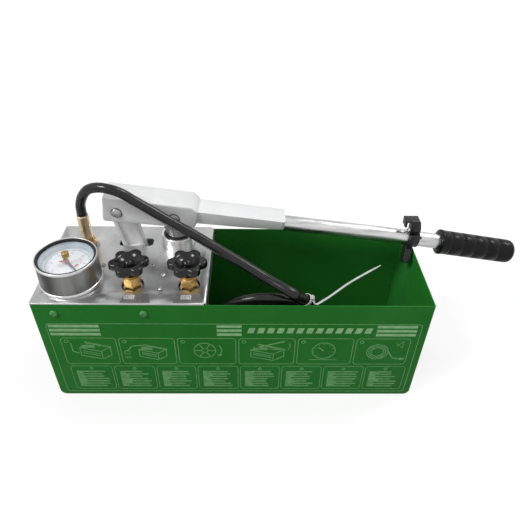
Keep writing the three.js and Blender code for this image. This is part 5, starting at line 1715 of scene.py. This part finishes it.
@dataclass
class StopValve:
    """A stop valve: its brass bonnet and its star-shaped hand wheel."""

    index: int
    body: Body
    x: float
    turn: float
    y: float = -46.4
    lobes: int = 6
    lobe: float = 7.6
    reach: float = 17.2
    hollow: float = 5.0
    sides: int = 96
    hub_foot: float = 196.3
    hub: Points = ((5.4, 0), (7.2, 0), (7.6, 0.5))
    foot: float = 208.6
    flare: Points = ((7.6, -3), (9.0, -0.6), (11.5, 0))
    top: float = 218.6
    soft: float = 2.6
    soft_foot: float = 2.2
    soft_steps: int = 5
    dish: float = 15.6
    dish_rim: float = 0.2
    dish_curve: float = 1.6
    dish_steps: int = 6
    depth: float = 5.4
    button: float = 6.4
    button_rise: float = 6.0
    button_steps: int = 7
    nut: tuple[float, ...] = (20.4, 172.6, 194.2, 2.2, 3.0)
    nut_turn: float = math.radians(12)
    neck: Points = ((0, 193.8), (8.4, 193.8), (8.4, 196), (5.4, 196), (5.4, 193.9))
    thread: Points = ((0, 159), (9, 159), (9, 174), (9.9, 174.6), (9.9, 179.8), (0, 179.8))
    # A near-black ring round the bonnet under the deck hole: painted shade in the gap round the nut.
    gasket: Points = ((11.9, 174.4), (14.8, 174.4), (14.8, 176.1), (11.9, 176.1))

    def radius_at(self, turn: float, shrink: float) -> float:
        """The star's radius in one direction, on a lobe's arc or on a hollow's between two lobes.

        Args:
            turn: the direction in radians.
            shrink: how far the outline is moved inwards.

        Returns:
            The radius.
        """
        half = math.pi / self.lobes
        across = self.reach * math.cos(half)
        hollow_reach = across + math.sqrt(across**2 - self.reach**2 + (self.lobe + self.hollow) ** 2)
        off = abs((turn + half) % (2 * half) - half)
        lobe = self.lobe - shrink
        meet = math.atan2(hollow_reach * math.sin(half), hollow_reach * math.cos(half) - self.reach)
        knee = math.atan2(lobe * math.sin(meet), self.reach + lobe * math.cos(meet))
        if off <= knee:
            side = self.reach * math.sin(off)
            return self.reach * math.cos(off) + math.sqrt(max(lobe**2 - side**2, 0))
        side = hollow_reach * math.sin(half - off)
        bite = math.sqrt(max((self.hollow + shrink) ** 2 - side**2, 0))
        return hollow_reach * math.cos(half - off) - bite

    def star(self, height: float, shrink: float) -> list[Vector]:
        """The star's outline at a height, moved inwards by shrink."""
        return hoop([self.radius_at(TURN * step / self.sides, shrink) for step in range(self.sides)], height)

    def ring(self, height: float, radius: float) -> list[Vector]:
        """A round outline at a height."""
        return hoop([radius] * self.sides, height)

    def wheel(self) -> Shape:
        """The hand wheel with soft rims, a dish on top and a domed button in it.

        Returns:
            The closed shape.
        """
        rings = [self.ring(self.hub_foot + rise, radius) for radius, rise in self.hub]
        rings += [self.ring(self.foot + rise, radius) for radius, rise in self.flare]
        quarters = [math.pi / 2 * step / self.soft_steps for step in range(self.soft_steps + 1)]
        for turn in quarters:
            rise = self.soft_foot * (1 - math.cos(turn))
            rings.append(self.star(self.foot + rise, self.soft_foot * (1 - math.sin(turn))))
        for turn in quarters:
            drop = self.soft * (1 - math.sin(turn))
            rings.append(self.star(self.top - drop, self.soft * (1 - math.cos(turn))))
        rim = self.top - self.dish_rim
        for step in range(self.dish_steps + 1):
            share = 1 - step / self.dish_steps
            drop = self.depth * (1 - share**self.dish_curve)
            rings.append(self.ring(rim - drop, self.button + (self.dish - self.button) * share))
        for step in range(1, self.button_steps):
            turn = math.pi / 2 * step / self.button_steps
            rise = self.button_rise * math.sin(turn)
            rings.append(self.ring(rim - self.depth + rise, self.button * math.cos(turn)))
        return lofted(rings)

    def build(self) -> None:
        """Builds the near-black ring of painted shade under the deck hole, the bonnet and the wheel."""
        spot = at(self.x, self.y, 0)
        # The near-black ring darkens the deck hole's gap: painted shade.
        gasket = eased(turned(self.gasket, 48, True), 0.2)
        settle(gasket, f"valve_hole_shade_{self.index}", SEAL, Body.FRAME, (), spot)
        nut = moved(hexed(*self.nut), about("Z", self.nut_turn))
        bonnet = added(nut, eased(turned(self.neck, 48), 0.5), turned(self.thread, 40))
        node = f"valve_bonnet_{self.index}"
        settle(bonnet, f"bonnet_nut_{self.index}", BRASS, Body.FRAME, (node,), spot)
        node = f"valve_knob_{self.index}"
        place = spot @ about("Z", self.turn)
        settle(self.wheel(), f"star_wheel_{self.index}", GLOSS, self.body, (node,), place, 40)


@dataclass
class Gauge:
    """The pressure gauge on the deck: case, bezel, glass, dial and pointers."""

    spot: Point3 = (-210.2, -35, 0)
    sides: int = 112
    case: Points = (
        (6.3, 179.2), (38.4, 179.2), (38.6, 181.6), (37.8, 212.6), (36.6, 212.6), (36.6, 202.0),
        (35.4, 202.0), (35.4, 181.2), (6.3, 181.2),
    )
    foot: Points = ((38.0, 179), (40, 179), (40, 180.8), (39.5, 181.9), (38.7, 182.6), (38.0, 182.6))
    bezel: Points = (
        (37.5, 212.8), (38.3, 212.8), (38.5, 214.0), (38.5, 215.1), (38.2, 215.9), (37.6, 216.2),
        (37.0, 216.1), (36.7, 215.7), (36.7, 214.8), (37.3, 214.2),
    )
    gasket: Points = ((33.3, 212.9), (36.6, 212.9), (36.6, 215.6), (34.6, 215.6))
    spacer: Points = ((30.2, 203.6), (36.5, 203.6), (36.5, 211.4), (34.6, 211.4))
    window: Points = ((1.4, 211.5), (36.5, 211.5), (36.5, 212.7), (1.4, 212.7))
    disc: Points = ((1.4, 202.3), (36.4, 202.3), (36.4, 203.5), (1.4, 203.5))
    dial_top: float = 203.5
    ink: float = 0.06
    scale_start: float = 225
    sweep: float = 270
    numbers: int = 6
    ticks: int = 60
    tick_feet: Point3 = (23.6, 24.8, 25.8)
    tick_widths: Point2 = (0.7, 0.35)
    scale_ring: Point2 = (27.4, 27.8)
    number_reach: float = 20.6
    number_size: float = 4.4
    bands: tuple[tuple[float, ...], ...] = (
        (29.6, 28.4, -45, -12, 24),
        (16.4, 15.9, 45, -45, 30),
        (14.4, 10.8, -6, -34, 12),
    )
    arbor: Points = ((0, 196), (1.1, 196), (1.1, 205.4), (0, 205.4))
    hand: tuple[float, ...] = (24, 9, 205.1, 2.0)
    hand_turn: float = math.radians(-48)
    drag_hand: tuple[float, ...] = (10, 0, 206.9, 2.2)
    drag_turn: float = math.radians(188)
    button: Points = (
        (0, 207.2), (1.1, 207.2), (1.1, 213.9), (4.1, 213.9), (4.5, 214.4), (4.5, 220.4),
        (4.1, 221.1), (3.4, 221.5), (0, 221.5),
    )
    marks: list = field(default_factory=list)

    def place(self) -> Matrix:
        """The gauge's axis on the deck."""
        return at(*self.spot)

    def tick(self, degrees: float, near: float, width: float) -> None:
        """Prints a line on the dial, out to its scale's ring.

        Args:
            degrees: the line's direction.
            near: the distance of its inner end.
            width: its width.
        """
        low = (near, -width / 2, self.dial_top)
        shape = block(low, (self.scale_ring[0], width / 2, self.dial_top + self.ink))
        self.marks.append(moved(shape, about("Z", math.radians(degrees))))

    def number(self, text: str, degrees: float) -> None:
        """Prints a number, upright on the dial as it is read.

        Args:
            text: the number.
            degrees: its direction from the dial's centre.
        """
        curve = bpy.data.curves.new("number", "FONT")
        curve.body = text
        curve.size = self.number_size
        curve.align_x = "CENTER"
        curve.align_y = "CENTER"
        curve.extrude = self.ink / 2
        holder = linked("number", curve)
        bpy.context.view_layer.update()
        mesh = bpy.data.meshes.new_from_object(holder.evaluated_get(bpy.context.evaluated_depsgraph_get()))
        shape = bmesh.new()
        shape.from_mesh(mesh)
        bpy.data.objects.remove(holder)
        bpy.data.curves.remove(curve)
        bpy.data.meshes.remove(mesh)
        turn = math.radians(degrees)
        reach = self.number_reach
        spot = at(reach * math.cos(turn), reach * math.sin(turn), self.dial_top + 0.04)
        self.marks.append(moved(shape, spot))

    def dial(self) -> None:
        """Builds the dial with its scale and its red bands."""
        disc = eased(turned(self.disc, 96, True), 0.15)
        settle(disc, "dial_disc", DIAL, Body.FRAME, ("gauge_dial",), self.place())
        whole, half, single = self.tick_feet
        wide, thin = self.tick_widths
        for step in range(self.ticks + 1):
            degrees = self.scale_start - self.sweep * step / self.ticks
            numbered = step % 10 == 0
            near = whole if numbered else half if step % 5 == 0 else single
            self.tick(degrees, near, wide if numbered else thin)
        for step in range(self.numbers + 1):
            self.number(str(step * 10), self.scale_start - self.sweep * step / self.numbers)
        low, high = self.dial_top, self.dial_top + self.ink
        inner, outer = self.scale_ring
        self.marks.append(turned([(inner, low), (outer, low), (outer, high), (inner, high)], 96, True))
        settle(added(*self.marks), "dial_scale", INK, Body.FRAME, (), self.place())
        zones = []
        for outer, inner, start, end, steps in self.bands:
            band = arc((0, 0), outer, start, end, steps) + arc((0, 0), inner, end, start, steps)
            zones.append(plate([band], low, high))
        settle(added(*zones), "dial_red_zone", RED_INK, Body.FRAME, (), self.place())

    def pointer(self, reach: float, tail: float, foot: float, wide: float) -> Shape:
        """A tapering hand with a round hub.

        Args:
            reach: how far its point is from its axis.
            tail: how far its other end is.
            foot: the height of its underside.
            wide: half its width.

        Returns:
            The shape.
        """
        top = foot + 0.7
        shoulder, tip = reach * 0.9, wide * 0.45
        blade = [(-tail, -wide), (0, -wide), (shoulder, -tip), (reach, 0)]
        blade += [(shoulder, tip), (0, wide), (-tail, wide)]
        hub = turned([(1.4, foot), (2.8, foot), (2.8, top), (1.4, top)], 28, True)
        return added(eased(plate([blade], foot, top), 0.12, 1), hub)

    def housing(self) -> None:
        """Builds the case with its foot, the bezel, and what the bezel holds."""
        place = self.place()
        case = eased(turned(self.case, self.sides, True), 0.3)
        settle(case, "case_shell", CASE_REFLECTION_BANDS, Body.FRAME, ("gauge_case",), place)
        foot = turned(self.foot, self.sides, True)
        settle(foot, "case_foot_rim", BEZEL, Body.FRAME, (), place, 50)
        bezel = turned(self.bezel, self.sides, True)
        settle(bezel, "bezel_ring", BEZEL, Body.FRAME, ("gauge_bezel",), place, 50)
        gasket = eased(turned(self.gasket, 96, True), 0.25)
        settle(gasket, "gasket_ring", SEAL, Body.FRAME, ("gauge_gasket",), place)
        spacer = eased(turned(self.spacer, 96, True), 0.2)
        settle(spacer, "spacer_ring", SPACER, Body.FRAME, ("gauge_spacer",), place)
        window = eased(turned(self.window, 96, True), 0.2)
        settle(window, "window_disc", GLASS, Body.FRAME, ("gauge_window",), place)

    def hands(self) -> None:
        """Builds the pressure hand, the drag hand and the button that resets it."""
        place = self.place()
        hand = added(self.pointer(*self.hand), turned(self.arbor, 20))
        lay = place @ about("Z", self.hand_turn)
        settle(hand, "pressure_hand", BLUE, Body.POINTER, ("gauge_pointer",), lay)
        drag = self.pointer(*self.drag_hand)
        lay = place @ about("Z", self.drag_turn)
        settle(drag, "drag_hand", RED, Body.DRAG_POINTER, ("gauge_drag_pointer",), lay)
        button = turned(self.button, 40)
        settle(button, "reset_button", BRASS, Body.DRAG_POINTER, ("gauge_reset_knob",), place)

    def build(self) -> None:
        """Builds the whole gauge."""
        self.housing()
        self.dial()
        self.hands()
        dress(BRASS, "gauge_movement", "gauge_stem")


@dataclass
class CrimpedFerrule:
    """A brass sleeve with three bands pressed into it."""

    foot: float
    top: float
    radius: float = 7.8
    mouth: float = 6.6
    mouth_depth: float = 0.6
    crimp: float = 0.22
    bands: int = 3
    press: Points = ((-3.2, 0), (-2.4, 0.7), (-1.4, 1), (1.4, 1), (2.4, 0.7), (3.2, 0))

    def shape(self) -> Shape:
        """The sleeve, turned from one profile.

        Returns:
            The closed shape.
        """
        profile = [(0, self.foot), (self.radius - 0.5, self.foot), (self.radius, self.foot + 0.5)]
        room = (self.top - self.foot) / (self.bands + 1)
        for band in range(1, self.bands + 1):
            middle = self.foot + room * band
            profile += [(self.radius - self.crimp * share, middle + off) for off, share in self.press]
        floor = self.top - self.mouth_depth
        profile += [(self.radius, self.top - 0.8), (self.radius - 0.6, self.top)]
        profile += [(self.mouth, self.top), (self.mouth, floor), (0, floor)]
        return turned(profile, 44)


@dataclass
class CableTie:
    """The cable tie round the strands of the coil, with its long tail."""

    strand: float
    slack: float = 0.8
    strap: float = 1.1
    strap_half: float = 1.8
    head: Point3 = (4, 2.9, 2.5)
    root: float = 2.0
    tail: tuple[Point3, ...] = (
        (102, -70, 168), (112, -62, 166), (126, -48, 163.6), (150, -26, 163.8), (176, -8, 166.4),
        (200, 8, 168),
    )
    tail_half: Point2 = (1.5, 0.55)
    point_steps: int = 3
    point_taper: float = 0.3

    def band(self, reach: float) -> Shape:
        """The strap round two strands, with its head.

        Args:
            reach: half the distance of the strands.

        Returns:
            The shape, the strands along Z.
        """
        hole = self.strand + self.slack
        loops = []
        for radius in (hole + self.strap, hole):
            loops.append(arc((reach, 0), radius, -90, 90, 16) + arc((-reach, 0), radius, 90, 270, 16))
        strap = eased(plate(loops, -self.strap_half, self.strap_half), 0.3)
        long, wide, tall = self.head
        head = block((reach + hole, -wide, -tall), (reach + hole + long, wide, tall))
        return added(strap, eased(head, 0.7))

    def strip(self, start: Vector) -> Shape:
        """The flat tail with its pointed end.

        Args:
            start: where it leaves the head.

        Returns:
            The closed shape.
        """
        line = smoothed([start, *map(Vector, self.tail)], 6)
        last = len(line) - 1
        wide, thin = self.tail_half
        rings = []
        for index, point in enumerate(line):
            run = (line[min(index + 1, last)] - line[max(index - 1, 0)]).normalized()
            side = run.cross(Vector((0, 0, 1))).normalized()
            half = wide - self.point_taper * max(index - last + self.point_steps, 0)
            across, over = side * half, side.cross(run) * thin
            low, high = point - over, point + over
            rings.append([low - across, low + across, high + across, high - across])
        return eased(lofted(rings), 0.25, 1)

    def build(self, outer: Vector, inner: Vector, along: Vector) -> Piece:
        """Builds the tie round two strands.

        Args:
            outer: a point of the outer strand.
            inner: the point of the inner strand under it.
            along: the strands' direction.

        Returns:
            The piece.
        """
        outwards = outer - inner
        reach = outwards.length / 2
        outwards = (outwards - along * outwards.dot(along)).normalized()
        lay = Matrix((outwards, along.cross(outwards), along)).transposed().to_4x4()
        lay.translation = (outer + inner) / 2
        start = lay @ Vector((reach + self.strand + self.slack + self.root, 0, 0))
        whole = added(moved(self.band(reach), lay), self.strip(start))
        return settle(whole, "tie_strap", WHITE, Body.FRAME, ("cable_tie",))


@dataclass
class Hose:
    """The test hose from its outlet, in front of the lever, into its coil, with both its ends."""

    radius: float = 6.5
    length: float = 1.5
    outlet: Point3 = (-204.5, 33.9982, 231.3)
    route: tuple[Point3, ...] = (
        (-203.4, 34, 247.5), (-197.3, 31.5, 261.4), (-186.5, 26.5, 274.1), (-171.3, 20.5, 280.6),
        (-156.7, 16.4, 280.9), (-142.5, 15.2, 275.9), (-128.4, 14.4, 266.3), (-110.8, 12, 255.5),
        (-91, 6.5, 245.1), (-71.8, 0.5, 236.2), (-52, -6.5, 228.1), (-26.3, -18, 217.8),
        (10.3, -35.5, 204.4), (44, -53, 192.4),
    )
    run_parts: int = 8
    coil_parts: int = 4
    coil_top: Point3 = (42.5, -66, 174.6)
    coil_radius: float = 84.4
    pitch: float = 14
    narrowing: float = 14
    lean: float = math.radians(70)
    start: float = math.radians(32)
    wound: float = math.radians(875)
    steps: int = 58
    loop_steps: int = 24
    tuck_in: float = 8
    tuck_back: float = 25
    tuck_turn: float = math.radians(85)
    nut: tuple[float, ...] = (19, 179.0, 191.0, 1.7, 1.0)
    nut_collar: Points = ((0, 190.4), (8.4, 190.4), (8.4, 195.2), (0, 195.2))
    outlet_sleeve: CrimpedFerrule = field(default_factory=lambda: CrimpedFerrule(195.3, 231.0))
    end_sleeve: CrimpedFerrule = field(default_factory=lambda: CrimpedFerrule(0.3, 30))
    end_nut: tuple[float, ...] = (22, 30.3, 45.3, 1.4, 1.4)
    end_bore: Points = ((7.0, 33.1), (7.8, 45.4), (8.6, 45.4), (8.6, 45.1))

    def coil_point(self, turn: float, end: float) -> Vector:
        """A point of the coil's centre line, which tucks inwards and back towards its end.

        Args:
            turn: the angle in radians from the coil's top.
            end: the angle at which the coil ends.

        Returns:
            The point.
        """
        across = Vector((1, 0, 0))
        up = Vector((0, -math.cos(self.lean), math.sin(self.lean)))
        back = Vector((0, math.sin(self.lean), math.cos(self.lean)))
        centre = Vector(self.coil_top) - up * self.coil_radius
        share = min(max((turn - end + self.tuck_turn) / self.tuck_turn, 0), 1)
        share = share * share * (3 - 2 * share)
        radius = self.coil_radius + self.pitch * (1 - turn / TURN) - self.tuck_in * share
        spot = centre + across * (radius - self.narrowing) * math.sin(turn)
        return spot + up * radius * math.cos(turn) + back * self.tuck_back * share

    def coil(self) -> list[Vector]:
        """The coil's points, with a straight lead at each end.

        Returns:
            The points.
        """
        end = self.start + self.wound
        turns = [self.start + self.wound * step / self.steps for step in range(self.steps + 1)]
        points = [self.coil_point(turn, end) for turn in turns]
        lead = (points[0] - points[1]).normalized() * self.radius * 2
        tail = (points[-1] - points[-2]).normalized() * self.radius * 2
        return [points[0] + lead, *points, points[-1] + tail]

    def line(self) -> list[Vector]:
        """The hose's whole centre line.

        Returns:
            The points.
        """
        coil = self.coil()
        inwards = (self.coil_point(self.start, math.inf) - coil[0]).normalized()
        outlet = Vector(self.outlet)
        run = [outlet, outlet + Vector((0, 0, self.radius)), *map(Vector, self.route)]
        run += [coil[0] - inwards * self.radius, coil[0]]
        return smoothed(run, self.run_parts)[:-1] + smoothed(coil, self.coil_parts)

    def cover(self, points: Sequence[Vector]) -> Piece:
        """Builds the hose as a round curve.

        Args:
            points: its centre line.

        Returns:
            The hose.
        """
        curve = bpy.data.curves.new("test_hose", "CURVE")
        curve.dimensions = "3D"
        curve.bevel_depth = self.radius * MM
        curve.bevel_resolution = 6
        curve.use_fill_caps = True
        spline = curve.splines.new("POLY")
        spline.points.add(len(points) - 1)
        for knot, point in zip(spline.points, points):
            knot.co = (*(point * MM), 1)
        curve.materials.append(HOSE.material())
        hose = linked("test_hose", curve)
        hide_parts("hose_run", "hose_coil")
        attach(hose, Body.FRAME.value)
        return hose

    def tie(self) -> Piece:
        """Builds the tie round the coil's outermost and innermost strands near its top.

        Returns:
            The piece.
        """
        strands = self.coil()
        loops = (len(strands) - 2) // self.loop_steps
        along = (strands[2] - strands[0]).normalized()
        return CableTie(self.radius).build(strands[1], strands[1 + self.loop_steps * loops], along)

    def connection(self) -> None:
        """Builds the nut and the sleeve at the outlet."""
        spot = at(self.outlet[0], self.outlet[1], 0)
        nut = added(hexed(*self.nut), eased(turned(self.nut_collar, 44), 0.4))
        settle(nut, "outlet_nut", BRASS, Body.FRAME, ("hose_union_nut",), spot)
        sleeve = self.outlet_sleeve.shape()
        settle(sleeve, "outlet_ferrule", SLEEVE_BRASS_PAINTED_LIGHT, Body.FRAME, ("hose_ferrule",), spot)

    def far_end(self, lay: Matrix) -> list[Piece]:
        """Builds the sleeve and the nut at the hose's far end.

        Args:
            lay: the hose's end, its direction along Z.

        Returns:
            The two pieces.
        """
        sleeve = self.end_sleeve.shape()
        nut = added(hexed(*self.end_nut), turned(self.end_bore, 40))
        return [
            settle(sleeve, "end_ferrule", BRASS, Body.FRAME, ("hose_end_ferrule",), lay),
            settle(nut, "end_nut", BRASS, Body.FRAME, ("hose_end_nut",), lay),
        ]

    def build(self) -> None:
        self.connection()
        points = self.line()
        hose = self.cover(points)
        along = (points[-1] - points[-3]).normalized()
        turn = Vector((0, 0, 1)).rotation_difference(along).to_matrix().to_4x4()
        carried = [*self.far_end(at(*points[-1]) @ turn), self.tie()]
        dress(ZINC, "hose_stem")


class HiddenWorks:
    """The parts under the deck, which keep their CAD shapes."""

    def build(self) -> None:
        """Gives each its finish."""
        dress(CAST, "pump_body")
        dress(DARK_STEEL, "link_pin")
        dress(BRASS, "foot_valve_body")
        dress(ZINC, "foot_valve_ball", "valve_spindle_1", "valve_spindle_2")
        dress(WHITE, "suction_tube")
        dress(PLASTIC, "suction_strainer")
        dress(SEAL, "plunger_seal")


@dataclass
class Studio:
    """Pale floor, soft light and the photograph's viewpoint."""

    eye: Point3 = (19.46, -534.48, 611.02)
    pitch: float = math.radians(38.705)
    yaw: float = math.radians(1.398)
    roll: float = math.radians(1.215)
    lens: float = 35.233
    sensor: float = 36
    nearest: float = 0.01
    fill: float = 0.52
    right_sun: tuple[Point3, float] = ((0.46, 0.3, 0.84), 0.95)
    left_sun: tuple[Point3, float] = ((-0.62, -0.3, 0.73), 1.45)
    sun_angle: float = math.radians(18)
    sun_distance: float = 3
    floor_half: float = 12
    floor_paint: FloorPaint = FloorPaint("floor_white", 0.26, 0.78)

    def floor(self) -> None:
        """Lays the floor under the tank."""
        ground = bmesh.new()
        bmesh.ops.create_grid(ground, x_segments=2, y_segments=2, size=self.floor_half)
        mesh = bpy.data.meshes.new("floor")
        ground.to_mesh(mesh)
        ground.free()
        mesh.materials.append(self.floor_paint.material())
        linked("floor", mesh)

    def world(self) -> None:
        """Sets a plain soft surround, white where it is seen."""
        world = bpy.data.worlds.new("studio")
        bpy.context.scene.world = world
        world.use_nodes = True
        board = Board(world.node_tree)
        level = board.between(seen(board), self.fill, 1.0)
        back = board.add("ShaderNodeBackground", {"Color": (1, 1, 1), "Strength": level})
        board.add("ShaderNodeOutputWorld", {"Surface": back.outputs[0]})

    def lamps(self) -> None:
        """Hangs the two far soft lamps."""
        for name, (aim, strength) in (("right", self.right_sun), ("left", self.left_sun)):
            light = bpy.data.lights.new(name, "SUN")
            light.energy = strength
            light.angle = self.sun_angle
            spot = Vector(aim).normalized() * self.sun_distance
            turn = (-spot).to_track_quat("-Z", "Y").to_matrix().to_4x4()
            linked(name, light).matrix_world = Matrix.Translation(spot) @ turn

    def camera(self) -> None:
        """Sets the camera where the photograph was taken."""
        level = math.cos(self.pitch)
        ahead = Vector((math.sin(self.yaw) * level, math.cos(self.yaw) * level, -math.sin(self.pitch)))
        right = Vector((math.cos(self.yaw), -math.sin(self.yaw), 0))
        up = right.cross(ahead)
        across = right * math.cos(self.roll) + up * math.sin(self.roll)
        over = up * math.cos(self.roll) - right * math.sin(self.roll)
        data = bpy.data.cameras.new("viewpoint")
        data.lens = self.lens
        data.sensor_width = self.sensor
        data.sensor_fit = "HORIZONTAL"
        data.clip_start = self.nearest
        camera = linked("viewpoint", data)
        turn = Matrix((across, over, -ahead)).transposed().to_4x4()
        camera.matrix_world = Matrix.Translation(Vector(self.eye) * MM) @ turn
        bpy.context.scene.camera = camera

    def build(self) -> None:
        """Builds floor, surround, lamps and camera."""
        bpy.context.scene.view_settings.view_transform = "Standard"
        self.floor()
        self.world()
        self.lamps()
        self.camera()


def main() -> None:
    """Builds the studio and every part of the pump."""
    logging.basicConfig(level=logging.INFO, format="%(message)s")
    lever = Lever()
    parts = (
        Studio(),
        Hose(),
        Tank(),
        Deck(),
        DeckMarks(),
        Screws(),
        FrontPrint(),
        Barrel(),
        lever,
        TransportClip(lever),
        Link(),
        StopValve(1, Body.VALVE_1, x=-130, turn=math.radians(12)),
        StopValve(2, Body.VALVE_2, x=-58.4, turn=math.radians(4)),
        Gauge(),
        HiddenWorks(),
    )
    for part in parts:
        part.build()
        LOG.info("%s built", type(part).__name__)


if __name__ == "__main__":
    main()
